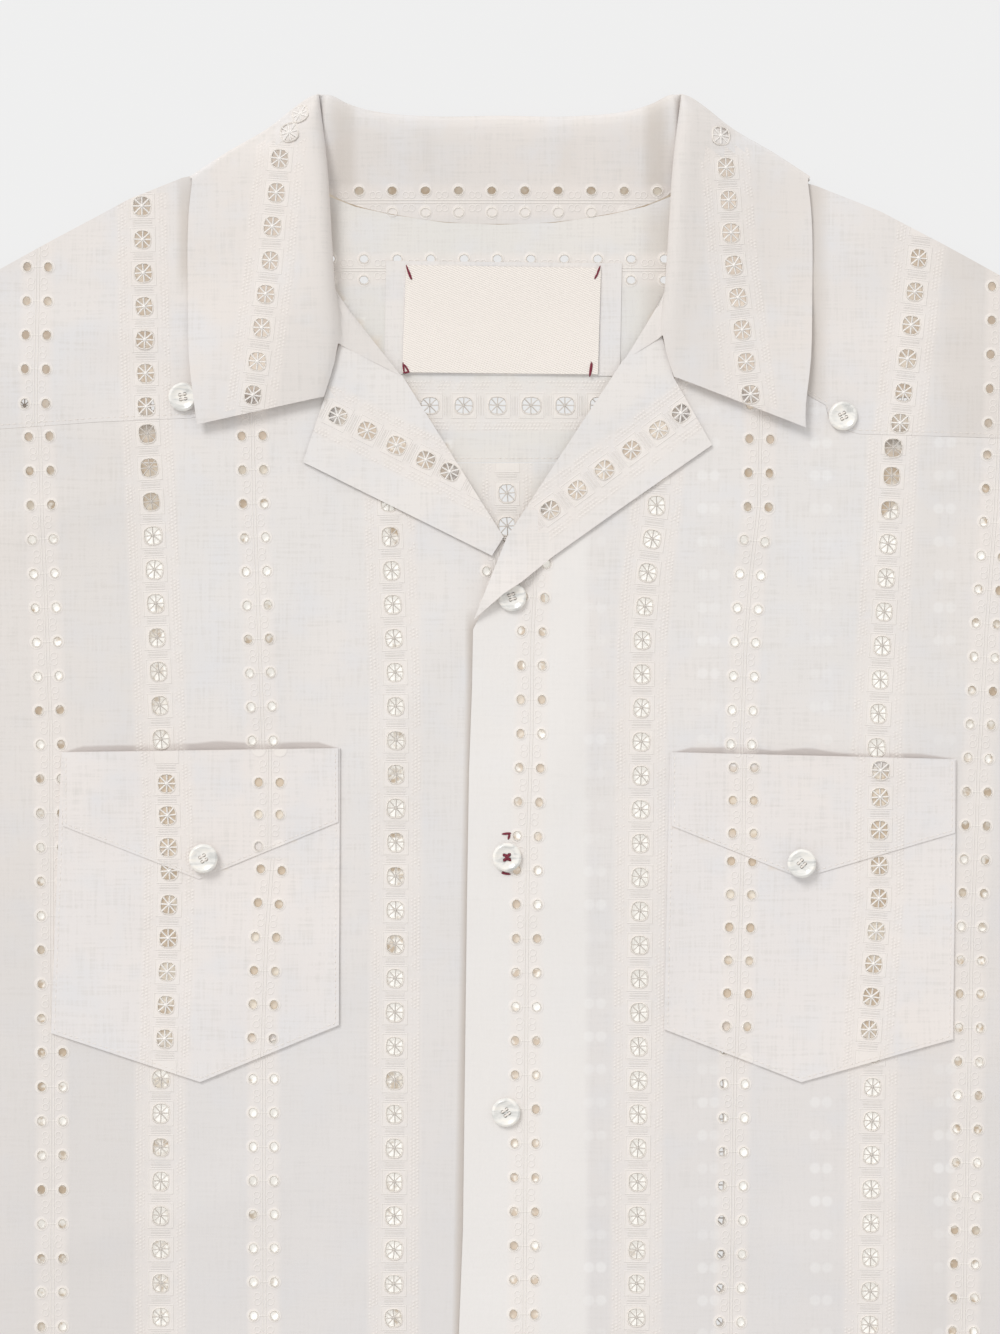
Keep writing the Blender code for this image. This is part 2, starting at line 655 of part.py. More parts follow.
front_heights = {"left": front_height, "right": over_front_height}
lapel_heights = {"left": left_lapel_height, "right": right_lapel_height}
for side in ("left", "right"):
    pocket_edge = pocket_outline(side)
    front_edge = front_outline(side)
    yoke_edge = front_yoke_outline(side)
    bent_panel("front_" + side, front_edge, front_heights[side], cotton,
               column_places(front_edge, side, (pocket_edge, lapel_outline(side))))
    bent_panel("front_yoke_" + side, yoke_edge, front_height, cotton, column_places(yoke_edge, side))
    flat_panel("sleeve_%s_under" % side, sleeve_outline(side), cotton)
    bent_panel("sleeve_%s_upper" % side, sleeve_outline(side), front_height, cotton)

    lapel_start, lapel_end, lapel_count = LAPEL_EYELETS[side]
    lapel_turn = math.atan2(lapel_end[1] - lapel_start[1], lapel_end[0] - lapel_start[0])
    bent_panel("lapel_" + side, lapel_outline(side), lapel_heights[side], cotton,
               line_places(lapel_start, lapel_end, lapel_count), lapel_turn)

    def pocket_height(x, y):
        return front_heights[side](x, y) + STEP + pocket_gape(side, x, y)

    def facing_height(x, y):
        return pocket_height(x, y) + STEP

    eyelet_x = POCKET_EYELET_X[side]
    eyelet_top = POCKET_EYELET_TOP_Y[side]
    pocket_places = [(eyelet_x, eyelet_top - POCKET_PITCH * row) for row in range(POCKET_EYELET_COUNT)]
    facing_edge = facing_outline(side)
    bent_panel("pocket_" + side, pocket_edge, pocket_height, cotton, pocket_places)
    bent_panel("pocket_facing_" + side, facing_edge, facing_height, cotton,
               [place for place in pocket_places if inside(facing_edge, *place)])

make_collar(cotton)

pearl_button = button_mesh()
front_buttons = [FIRST_BUTTON, SECOND_BUTTON, THIRD_BUTTON,
                 (THIRD_BUTTON[0], THIRD_BUTTON[1] - BUTTON_PITCH),
                 (THIRD_BUTTON[0], THIRD_BUTTON[1] - 2.0 * BUTTON_PITCH)]
for number, place in enumerate(front_buttons, 1):
    add_button("front_button_%d" % number, pearl_button, place, over_front_height(*place), pearl)
for side, place in POCKET_BUTTON.items():
    under = front_heights[side](*place) + 2.0 * STEP + pocket_gape(side, *place)
    add_button("pocket_button_" + side, pearl_button, place, under, pearl)
for side, place in YOKE_BUTTON.items():
    add_button("yoke_button_" + side, pearl_button, place, front_height(*place), pearl)
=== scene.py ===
import math
import random

import bmesh
import bpy
import numpy as np
from mathutils import Matrix, Vector, noise
from mathutils.bvhtree import BVHTree


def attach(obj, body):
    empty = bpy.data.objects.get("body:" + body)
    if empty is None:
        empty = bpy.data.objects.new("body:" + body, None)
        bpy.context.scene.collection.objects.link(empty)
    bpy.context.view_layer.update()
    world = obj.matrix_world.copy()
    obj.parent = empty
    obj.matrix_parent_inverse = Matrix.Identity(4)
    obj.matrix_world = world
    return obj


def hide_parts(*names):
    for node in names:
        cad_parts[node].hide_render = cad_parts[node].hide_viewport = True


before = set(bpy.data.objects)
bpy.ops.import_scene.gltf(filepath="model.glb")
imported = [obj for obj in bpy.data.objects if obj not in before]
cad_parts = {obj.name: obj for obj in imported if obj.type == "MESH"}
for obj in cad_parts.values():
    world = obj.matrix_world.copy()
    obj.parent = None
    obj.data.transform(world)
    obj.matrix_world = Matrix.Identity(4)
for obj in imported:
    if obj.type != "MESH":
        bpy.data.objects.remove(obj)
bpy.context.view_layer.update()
print("frame loaded")

mm = 0.001  # every table below is in millimetres

cloth = {
    "wall": 1.0,          # the solids' wall, which sets how the layers stack
    "step": 1.3,          # from one layer's underside to the next
    "thickness": 0.6,     # the shell that shows
    "sink": 0.2,          # how far the shell's underside is above its solid's
    "cell": 7.0,
    "fineCell": 4.5,
    "ripple": 0.8,
    "creaseDepth": 2.6,
    "rippleSize": 30.0,
    "fineRippleSize": 12.0, "fineRippleShare": 0.35, "rippleSeeds": (0.7, 3.1), "rippleLift": 0.4,
    "gridShift": 0.37, "sharpFrom": 0.9,
}
sides = ("left", "right")
signs = {"left": -1.0, "right": 1.0}

# soft ridges: x, y, angle, reach along, width across, height
mainFolds = [
    (-205, 250, -28, 60, 20, 2.2), (212, 248, 24, 55, 20, 2.0), (-245, 20, 38, 80, 22, 2.6),
    (252, 22, -38, 80, 21, 2.4), (-215, -190, 82, 120, 24, 1.8), (80, -170, 96, 110, 22, 1.4),
    (225, -250, 78, 90, 24, 2.0), (-75, -270, 101, 80, 22, 1.5), (-350, 120, 48, 80, 22, 3.0),
    (345, 60, -58, 85, 22, 2.8),
]
smallCreases = [
    (-160, 262, -8, 40, 7, 0.5), (-172, 190, 14, 46, 8, 0.45), (-88, 150, 78, 44, 9, 0.4),
    (-30, 128, 66, 38, 8, 0.4), (30, 120, 84, 60, 10, 0.35), (112, 176, -24, 52, 9, 0.45),
    (176, 262, 12, 38, 8, 0.5), (-60, 20, 88, 70, 9, 0.35), (60, -20, 92, 66, 9, 0.35),
    (-150, -96, 18, 60, 10, 0.5), (130, -110, -14, 54, 10, 0.5), (-300, 170, 36, 60, 9, 0.9),
    (-330, 60, 60, 50, 8, 0.8), (310, 180, -40, 58, 9, 0.9), (380, 70, -64, 52, 8, 0.8),
    (-20, -230, 72, 70, 10, 0.7), (170, -300, 98, 66, 11, 0.8), (-230, -300, 74, 60, 11, 0.8),
]


def ramp(value, start, end):
    return min(1.0, max(0.0, (value - start) / (end - start)))


def mix(first, second, share):
    return tuple(a + (b - a) * share for a, b in zip(first, second))


def mirrored(points, side):
    return [((-x if side == "left" else x), y) for x, y in points]


def distanceToLine(point, line):
    nearest = 1e9
    for start, end in zip(line, line[1:]):
        length = math.dist(start, end)
        share = ((point[0] - start[0]) * (end[0] - start[0]) + (point[1] - start[1]) * (end[1] - start[1]))
        share = min(1.0, max(0.0, share / length ** 2))
        nearest = min(nearest, math.dist(point, mix(start, end, share)))
    return nearest


def insideOutline(outline, x, y):
    crossings = 0
    for (ax, ay), (bx, by) in zip(outline, [*outline[1:], outline[0]]):
        if (ay > y) != (by > y) and x < ax + (y - ay) * (bx - ax) / (by - ay):
            crossings += 1
    return crossings % 2 == 1


def clearOf(outline, x, y, margin):
    loop = [*outline, outline[0]]
    return insideOutline(outline, x, y) and distanceToLine((x, y), loop) > margin


def flatArea(outline):
    pairs = zip(outline, [*outline[1:], outline[0]])
    return abs(sum(ax * by - bx * ay for (ax, ay), (bx, by) in pairs)) * 0.5e-6


def smoothCurve(points, steps):
    # Catmull-Rom through the given points
    padded = [points[0], *points, points[-1]]
    curve = []
    for a, b, c, d in zip(padded, padded[1:], padded[2:], padded[3:]):
        for index in range(steps):
            t = index / steps
            curve.append(tuple(
                0.5 * (2 * q + (r - p) * t + (2 * p - 5 * q + 4 * r - s) * t * t
                       + (3 * q - p - 3 * r + s) * t ** 3)
                for p, q, r, s in zip(a, b, c, d)))
    curve.append(tuple(points[-1]))
    return curve


# how the layers lie on each other

layers = {
    "fallFullY": 294.15, "fallNoneY": 266.75, "fallFullX": -148.0, "fallNoneX": -172.0,
    "placketFullX": 20.0, "placketNoneX": 44.0,
    "firstButton": (4.8, 156.0), "buttonRise": 3.6, "buttonReach": 12.0,
}


def ridgeSum(x, y, rows):
    total = 0.0
    for ridgeX, ridgeY, angle, reach, width, height in rows:
        turn = math.radians(angle)
        dx = x - ridgeX
        dy = y - ridgeY
        lengthwise = (dx * math.cos(turn) + dy * math.sin(turn)) / reach
        sideways = (dy * math.cos(turn) - dx * math.sin(turn)) / width
        spread = lengthwise * lengthwise + sideways * sideways
        if spread < 9.0:
            total += height * math.exp(-spread)
    return total


def backHeight(x, y):
    across = ramp(-abs(x), layers["fallNoneX"], layers["fallFullX"])
    return cloth["step"] * across * ramp(y, layers["fallNoneY"], layers["fallFullY"])


def frontHeight(x, y):
    wide, fine = cloth["rippleSize"], cloth["fineRippleSize"]
    ripple = noise.noise((x / wide, y / wide, cloth["rippleSeeds"][0]))
    ripple += cloth["fineRippleShare"] * noise.noise((x / fine, y / fine, cloth["rippleSeeds"][1]))
    return (backHeight(x, y) + cloth["step"] + ridgeSum(x, y, mainFolds)
            + cloth["creaseDepth"] * ridgeSum(x, y, smallCreases)
            + cloth["ripple"] * (ripple + cloth["rippleLift"]))


def overFrontHeight(x, y):
    lift = ramp(-x, -layers["placketNoneX"], -layers["placketFullX"])
    return frontHeight(x, y) + cloth["step"] * lift


frontHeights = {"left": frontHeight, "right": overFrontHeight}


def restHeight(x, y):
    return 0.0


# outlines of the cut pieces, the same as the solids'

hemY = -356.7
shoulderTip = (245.0, 264.4)
shoulderEdge = {
    "left": [(94, 336), (107, 330), (122, 324.6), (127, 323.6), (148, 315.2), (176, 300.6), (200, 287.2)],
    "right": [(94, 333), (107, 328), (122, 321.6), (126.5, 320.4), (152, 310.2), (176, 298), (200, 284.8)],
}
neckSide = [(70.5, 282), (74, 300), (75.6, 316), (77.5, 337)]
backNeck = [(0, 305.1), (22, 305.9), (43, 309.0), (58, 312.3), (68, 316.2), (73, 321.6)]
armhole = [(240.5, 222), (243, 150), (257, 85), (290, 39.8)]
yokeSeam = {
    "left": [(-240.5, 222.4), (-200, 223.2), (-160, 226), (-124, 227.6), (-112, 230), (-107, 237),
             (-96, 243), (-54.1, 262)],
    "right": [(240.5, 219), (200, 219.6), (144, 221.2), (136, 223.6), (131.6, 227.6), (130.4, 232.8),
              (123.2, 236.8), (100, 245), (57.3, 262)],
}
rollLine = {
    "left": [(-39.6, 244.4), (2.8, 180.0)],
    "right": [(49.6, 250.4), (2.8, 180.0), (-10.4, 148.0)],
}
foldAtGorge = {"left": (-64.8, 257.2), "right": (65.2, 260.4)}
notch = {"left": (-70.4, 236.0), "right": (69.6, 244.0)}
collarPoint = {"left": (-120.8, 224.8), "right": (122.0, 223.6)}
pocketCorners = {  # top outer, top inner, bottom inner, tip, bottom outer
    "left": [(-175.2, 94), (-64, 95.6), (-64.4, -15.2), (-120, -38), (-179.6, -18.4)],
    "right": [(182.4, 91.2), (68, 94), (65.6, -16.8), (120.4, -38), (181.2, -20.8)],
}
facingTip = {"left": (-120.4, 43.2), "right": (120.4, 43.6)}


def shoulderLine(side):
    return mirrored([neckSide[-1], *shoulderEdge[side], shoulderTip], side)


def frontOutline(side):
    inward = 0.3 if side == "left" else -0.3
    seam = [(x + 0.3 * inward, y - 0.08) for x, y in yokeSeam[side][1:]]
    hole = mirrored(smoothCurve(armhole, 6), side)
    hole[0] = (yokeSeam[side][0][0], yokeSeam[side][0][1] - 0.3)
    if side == "left":
        edge = [(-41.4, 243.2), (1.0, 178.8), (18.0, 156.6), (18.0, hemY)]
        return [*hole, (-290.0, hemY), *reversed(edge), *reversed(seam)]
    edge = [(51.4, 249.2), (4.8, 179.0), (-8.2, 148.0), (-10.8, 143.0), (-11.2, 119.2), (-12.4, 86.0),
            (-13.2, 34.8), (-14.8, -96.8), (-16.4, -137.6), (-16.4, hemY)]
    return [*hole, (290.0, hemY), *reversed(edge), *reversed(seam)]


def frontYokeOutline(side):
    return [*yokeSeam[side], *mirrored(neckSide[:-1], side), *shoulderLine(side)]


def backYokeOutline():
    right = [*backNeck[1:], *shoulderLine("right"), armhole[0], (240.5, 210.0)]
    left = [*mirrored(backNeck[1:], "left"), *shoulderLine("left"), (-armhole[0][0], armhole[0][1]),
            (-240.5, 210.0)]
    return [backNeck[0], *right, *reversed(left)]


def backPanelOutline():
    hole = [(240.5, 209.7), *[point for point in smoothCurve(armhole, 6) if point[1] < 209.0]]
    half = [*hole, (290.0, hemY)]
    return [*half, *[(-x, y) for x, y in reversed(half)]]


def sleeveOutline(side):
    hole = [(x + 0.6, y) for x, y in [shoulderTip, *smoothCurve(armhole, 6)]]
    return mirrored([*hole, (334.0, -36.2), (446.0, 123.8)], side)


def lapelOutline(side):
    if side == "left":
        return [(-39.2, 244.7), (-64.2, 257.5), (-70.2, 235.7), (-78.8, 210.0), (-3.2, 172.5), (1.4, 180.0)]
    return [(49.2, 250.7), (64.7, 260.5), (69.4, 243.8), (84.8, 216.8), (44, 188.4), (20.7, 171.8),
            (8.7, 162), (1.4, 157.2), (-2.3, 154), (-10.4, 147), (2.8, 180)]


def facingOutline(side):
    outer, inner = pocketCorners[side][:2]
    inset = 0.6 if side == "left" else -0.6
    return [(outer[0] + inset, outer[1] - 0.2), (inner[0] - inset, inner[1] - 0.2),
            (inner[0] - inset, inner[1] - 29.5), facingTip[side], (outer[0] + inset, outer[1] - 29.5)]


# embroidered stripes: a line that starts at an eyelet, and the eyelets' pitch

pitch = 13.7
mapScale = 10.0  # millimetres for 1 across a stripe's map
offMap = 5.0     # where a map puts what is far from every stripe


def stripe(kind, line, step=pitch):
    return {"kind": kind, "line": line, "pitch": step}


def columnStripe(kind, line, step=pitch, phaseY=218.8):
    top = line[0]
    start = phaseY + step * math.ceil((top[1] - phaseY) / step)
    share = (start - top[1]) / (line[1][1] - top[1])
    first = (top[0] + (line[1][0] - top[0]) * share, start)
    return stripe(kind, [first, *line[1:]], step)


yokeStripes = {
    "left": [
        columnStripe("broad", [(-232, 300), (-232, 98)]),
        columnStripe("broad", [(-143.2, 312), (-141.2, 218.8)], 13.35, 218.8),
        columnStripe("narrow", [(-184.8, 300), (-186, 218.8)], phaseY=219.6),
    ],
    "right": [
        columnStripe("broad", [(168.5, 300), (159.8, 223.8)], 13.55, 223.8),
        columnStripe("broad", [(250, 300), (250, 98)]),
        columnStripe("narrow", [(201.6, 300), (199.6, 225)], phaseY=225.4),
    ],
}
frontStripes = {
    "left": [
        columnStripe("broad", [(-232, 240), (-232, 98), (-230, -360)], 13.6, 193.8),
        columnStripe("broad", [(-141.2, 224), (-139.5, 194.1), (-136, 110), (-135.6, 98), (-136, -360)],
                     13.6, 194.1),
        columnStripe("broad", [(-45.4, 240), (-44.8, 205), (-42, 126), (-41.6, 98.8), (-43.6, -360)],
                     13.6, 193.8),
        columnStripe("narrow", [(-184.6, 230), (-183.6, 192.8), (-179.8, 98.8), (-179.2, -40),
                                (-179.4, -360)],
                     phaseY=192.8),
        columnStripe("narrow", [(-99.6, 240), (-98.6, 193.4), (-95, 99.2), (-94, -360)], 13.55, 193.4),
        columnStripe("narrow", [(-1.2, 183), (-1.2, -360)], phaseY=166.4),
        columnStripe("narrow", [(-272, 60), (-270, -360)]),
    ],
    "right": [
        columnStripe("broad", [(65, 240), (62.6, 192.6), (59, 165.7), (56.9, 138.8), (56.5, 98.4),
                               (52.6, -360)],
                     13.55, 192.6),
        columnStripe("broad", [(158.6, 240), (156, 190.8), (150.8, 98.8), (145, -360)], 13.6, 190.8),
        columnStripe("broad", [(250, 300), (250, 98), (248, -360)], 13.6, 190.8),
        columnStripe("narrow", [(15, 180), (12.8, 142.2), (12.4, 101.2), (11.0, 60), (10.4, -5.2), (8, -360)],
                     13.65, 142.2),
        columnStripe("narrow", [(104.5, 240), (103.3, 192), (100.2, 165.2), (98.1, 138), (96.5, 97.6),
                                (94, -29.2), (88, -360)], 13.6, 192),
        columnStripe("narrow", [(200.4, 240), (198.4, 193.6), (194.6, 145.2), (191.4, 90.8), (188.8, 24),
                                (187.6, -30), (184, -200), (183, -360)], 13.5, 145.2),
    ],
}
facingStripes = {
    "left": [columnStripe("broad", [(-133.6, 100), (-132.6, 55.9), (-132.2, 30)], 12.75, 81.4),
             columnStripe("narrow", [(-92.0, 100), (-92.6, 30)], 12.8, 81.9)],
    "right": [columnStripe("broad", [(152.2, 100), (151.6, 62.9), (151.5, 30)], 13.1, 76.0),
              columnStripe("narrow", [(97.5, 100), (96.8, 30)], 13.15, 87.8)],
}
pocketStripes = {
    "left": [stripe("broad", [(-132.3, 46.4), (-132.4, 33.0), (-132.9, 13.0), (-134.8, -45)], 13.4),
             stripe("narrow", [(-91.5, 46.9), (-93.6, 20.3), (-96.0, -45)], 13.5)],
    "right": [stripe("broad", [(151.6, 48.6), (151.5, 35.4), (149.4, 9.4), (145.6, -45)], 13.15),
              stripe("narrow", [(96.7, 50.2), (94.7, -15.8), (94.0, -45)], 13.2)],
}
lapelStripes = {
    "left": [stripe("broad", [(-64.8, 228.4), (6.0, 193.0)], 13.1)],
    "right": [stripe("broad", [(20.0, 190.8), (88.0, 241.0)], 13.5)],
}
collarStripes = [
    stripe("broad", [(-87.7, 330.3), (-89.1, 316.1), (-90.8, 302.3), (-91.7, 288.6), (-93.5, 275.8),
                     (-95.1, 262.0), (-98.6, 236.3)], 13.5),
    stripe("broad", [(90.0, 326.8), (92.8, 291.0), (100.0, 235.6)], 12.95),
    stripe("narrow", [(-69.6, 314.2), (69.6, 314.2)], 13.26),
]
backYokeStripes = [
    stripe("narrow", [(-228.3, 287.2), (228.3, 287.2)], 13.37),
    stripe("broad", [(-231.0, 232.8), (231.0, 232.8)], 13.53),
]
backBroad = [-247.4, -164, -80.6, 2.8, 86.2, 169.6, 262]
backNarrow = [-205.7, -122.3, -32.5, 44.5, 127.9, 211.3]
backStripes = [columnStripe("broad", [(x, 215), (x, -360)], 13.2, 197.6) for x in backBroad]
backStripes += [columnStripe("narrow", [(x, 215), (x, -360)], 13.2, 204) for x in backNarrow]
sleeveStripes = {
    side: [stripe("broad", mirrored([(262, 252), (300, 20)], side)),
           stripe("narrow", mirrored([(305, 228), (322, -10)], side)),
           stripe("broad", mirrored([(352, 194), (356, -36)], side)),
           stripe("narrow", mirrored([(400, 160), (396, 40)], side))]
    for side in sides
}


def stripePlaces(row):
    places = []
    walked = 0.0
    wanted = 0.0
    for start, end in zip(row["line"], row["line"][1:]):
        length = math.dist(start, end)
        angle = math.atan2(end[1] - start[1], end[0] - start[0])
        while wanted <= walked + length + 0.01:
            x, y = mix(start, end, (wanted - walked) / length)
            places.append((x, y, angle))
            wanted += row["pitch"]
        walked += length
    return places


def stripeFrame(points, row):
    # for many points at once: sideways of, along and away from a stripe, and whether past its ends
    best = None
    walked = 0.0
    total = sum(math.dist(a, b) for a, b in zip(row["line"], row["line"][1:]))
    for start, end in zip(row["line"], row["line"][1:]):
        length = math.dist(start, end)
        way = np.array([(end[0] - start[0]) / length, (end[1] - start[1]) / length])
        offset = points - np.array(start)
        lengthwise = offset @ way
        sideways = offset @ np.array([-way[1], way[0]])
        over = np.maximum(0.0, np.maximum(-lengthwise, lengthwise - length))
        away = np.hypot(over, sideways)
        along = lengthwise + walked
        beyond = (over > 0.5 * row["pitch"]) & ((along < 0.0) | (along > total))
        found = np.stack([sideways, along, away, beyond], axis=1)
        if best is None:
            best = found
        else:
            nearer = away < best[:, 2]
            best[nearer] = found[nearer]
        walked += length
    return best


def mapStripes(mesh, rows):
    # one UV map for each kind of stripe: across it, and along it in pitches, both from an eyelet
    loopTotal = len(mesh.loops)
    loopVerts = np.empty(loopTotal, dtype=np.int32)
    mesh.loops.foreach_get("vertex_index", loopVerts)
    coords = np.empty(len(mesh.vertices) * 3)
    mesh.vertices.foreach_get("co", coords)
    points = coords.reshape(-1, 3)[:, :2][loopVerts] * 1000.0
    faceOfLoop = np.empty(loopTotal, dtype=np.int32)
    for polygon in mesh.polygons:
        faceOfLoop[polygon.loop_start:polygon.loop_start + polygon.loop_total] = polygon.index
    counts = np.bincount(faceOfLoop)
    centres = np.stack([np.bincount(faceOfLoop, points[:, axis]) / counts for axis in (0, 1)], axis=1)
    for kind in ("broad", "narrow"):
        layer = mesh.uv_layers.new(name=kind)
        values = np.full((loopTotal, 2), offMap)
        nearest = np.full(loopTotal, 1e9)
        for row in rows:
            if row["kind"] != kind:
                continue
            middle = stripeFrame(centres, row)
            away = np.where(middle[:, 3] > 0.5, 1e9, middle[:, 2])[faceOfLoop]
            found = stripeFrame(points, row)
            nearer = away < nearest
            values[nearer, 0] = found[nearer, 0] / mapScale
            values[nearer, 1] = found[nearer, 1] / row["pitch"]
            nearest[nearer] = away[nearer]
        layer.data.foreach_set("uv", values.ravel())


# shader groups

def addSockets(group, inputs, outputs):
    for name, kind, value in inputs:
        socket = group.interface.new_socket(name=name, in_out="INPUT", socket_type=kind)
        if value is not None:
            socket.default_value = value
    for name in outputs:
        group.interface.new_socket(name=name, in_out="OUTPUT", socket_type="NodeSocketFloat")


class Wiring:
    # small helper that adds nodes to one tree and links them
    bandRounding = 0.3

    def __init__(self, tree):
        self.tree = tree

    def node(self, kind, **settings):
        made = self.tree.nodes.new(kind)
        for name, value in settings.items():
            setattr(made, name, value)
        return made

    def feed(self, value, socket):
        if isinstance(value, bpy.types.NodeSocket):
            self.tree.links.new(value, socket)
        else:
            socket.default_value = value

    def math(self, operation, first, second=0.0, third=0.0, clamp=False):
        made = self.node("ShaderNodeMath", operation=operation, use_clamp=clamp)
        for value, socket in zip((first, second, third), made.inputs):
            self.feed(value, socket)
        return made.outputs[0]

    def plus(self, first, second):
        return self.math("ADD", first, second)

    def minus(self, first, second, clamp=False):
        return self.math("SUBTRACT", first, second, clamp=clamp)

    def times(self, first, second, clamp=False):
        return self.math("MULTIPLY", first, second, clamp=clamp)

    def over(self, first, second, clamp=False):
        return self.math("DIVIDE", first, second, clamp=clamp)

    def scaled(self, value, gain, start, clamp=False):
        return self.math("MULTIPLY_ADD", value, gain, start, clamp=clamp)

    def reach(self, first, second):
        return self.math("SQRT", self.plus(self.times(first, first), self.times(second, second)))

    def fromWhole(self, value):
        # how far a value is from the nearest whole number
        return self.math("ABSOLUTE", self.minus(self.math("FRACT", self.plus(value, 0.5)), 0.5))

    def band(self, value, low, high, soft):
        # 1 between low and high, with soft edges inside them
        rise = self.math("SMOOTH_MIN", self.over(self.minus(value, low), soft), 1.0, self.bandRounding)
        fall = self.math("SMOOTH_MIN", self.over(self.minus(high, value), soft), 1.0, self.bandRounding)
        return self.times(self.math("MAXIMUM", rise, 0.0), self.math("MAXIMUM", fall, 0.0))

    def parts(self, vector):
        made = self.node("ShaderNodeSeparateXYZ")
        self.feed(vector, made.inputs[0])
        return made.outputs

    def noise(self, place, scale, detail=2.0, distortion=0.0):
        made = self.node("ShaderNodeTexNoise")
        made.inputs["Scale"].default_value = scale
        made.inputs["Detail"].default_value = detail
        made.inputs["Distortion"].default_value = distortion
        self.feed(place, made.inputs["Vector"])
        return made.outputs["Fac"]

    def stretched(self, place, scale, turn=0.0):
        made = self.node("ShaderNodeMapping")
        made.inputs["Scale"].default_value = scale
        made.inputs["Rotation"].default_value = (0.0, 0.0, turn)
        self.feed(place, made.inputs["Vector"])
        return made.outputs[0]

    def mixColour(self, share, first, second):
        made = self.node("ShaderNodeMix", data_type="RGBA", blend_type="MIX")
        for value, socket in zip((share, first, second), (made.inputs[0], made.inputs[6], made.inputs[7])):
            self.feed(value, socket)
        return made.outputs[2]

    def fade(self, colour, mask, share, towards):
        return self.mixColour(self.times(mask, share), colour, towards)

    def bump(self, height, strength, distance):
        made = self.node("ShaderNodeBump")
        made.inputs["Strength"].default_value = strength
        made.inputs["Distance"].default_value = distance
        self.feed(height, made.inputs["Height"])
        return made.outputs[0]


weaveLook = {
    "threads": 2100.0, "turn": 6.283, "weaveShare": 0.25,
    "slubs": ((900.0, 60.0, 60.0), (60.0, 900.0, 60.0)), "slubDetail": 3.0,
}


def buildWeaveGroup():
    # plain weave with slubs in both directions, from Object coordinates
    group = bpy.data.node_groups.new("plainWeave", "ShaderNodeTree")
    addSockets(group, [("Place", "NodeSocketVector", None),
                       ("Threads", "NodeSocketFloat", weaveLook["threads"])], ["Height", "Slub"])
    wire = Wiring(group)
    start = wire.node("NodeGroupInput")
    end = wire.node("NodeGroupOutput")
    turns = wire.times(start.outputs["Threads"], weaveLook["turn"])
    place = wire.parts(start.outputs["Place"])
    weave = wire.times(wire.math("SINE", wire.times(place[0], turns)),
                       wire.math("SINE", wire.times(place[1], turns)))
    slubs = [wire.noise(wire.stretched(start.outputs["Place"], stretch), 1.0, weaveLook["slubDetail"])
             for stretch in weaveLook["slubs"]]
    slub = wire.times(wire.plus(*slubs), 0.5)
    wire.feed(wire.plus(wire.times(weave, weaveLook["weaveShare"]), slub), end.inputs["Height"])
    wire.feed(slub, end.inputs["Slub"])
    return group


stitchLook = {  # in millimetres across and along a stripe; a band is its two ends and its soft edge
    "frame": (4.55, 5.25, 0.3), "barsAcross": (-1.0, 4.1, 0.5), "bars": ((5.5, 6.0, 0.2), (6.4, 6.85, 0.2)),
    "dotCell": 1.45, "dotRadius": 0.42, "flank": (6.2, 10.3, 0.5), "pinholeReach": 0.55,
    "patchScale": 260.0, "patchFrom": 0.36, "patchGain": 5.0,
    "cord": (0.3, 0.95, 0.22), "leafCentre": (2.6, 5.6), "leaf": (0.9, 1.6, 0.3),
    "crossAlong": (-1.0, 0.35, 0.2), "crossAcross": (-1.0, 2.0, 0.3),
    "satin": (-6.0, 4.75, 0.4), "ringCentre": 4.2, "ring": (-6.0, 3.0, 0.4),
    "broadTint": (-4.0, 11.5, 2.5), "narrowTint": (-4.0, 7.5, 2.5), "tintGain": 0.8, "tintFrom": 0.35,
    "heights": {"frame": 0.8, "bars": 0.8, "satin": 0.36, "ring": 0.6, "dots": 1.0, "cord": 1.0,
                "sprig": 0.6, "cross": 0.5},
}


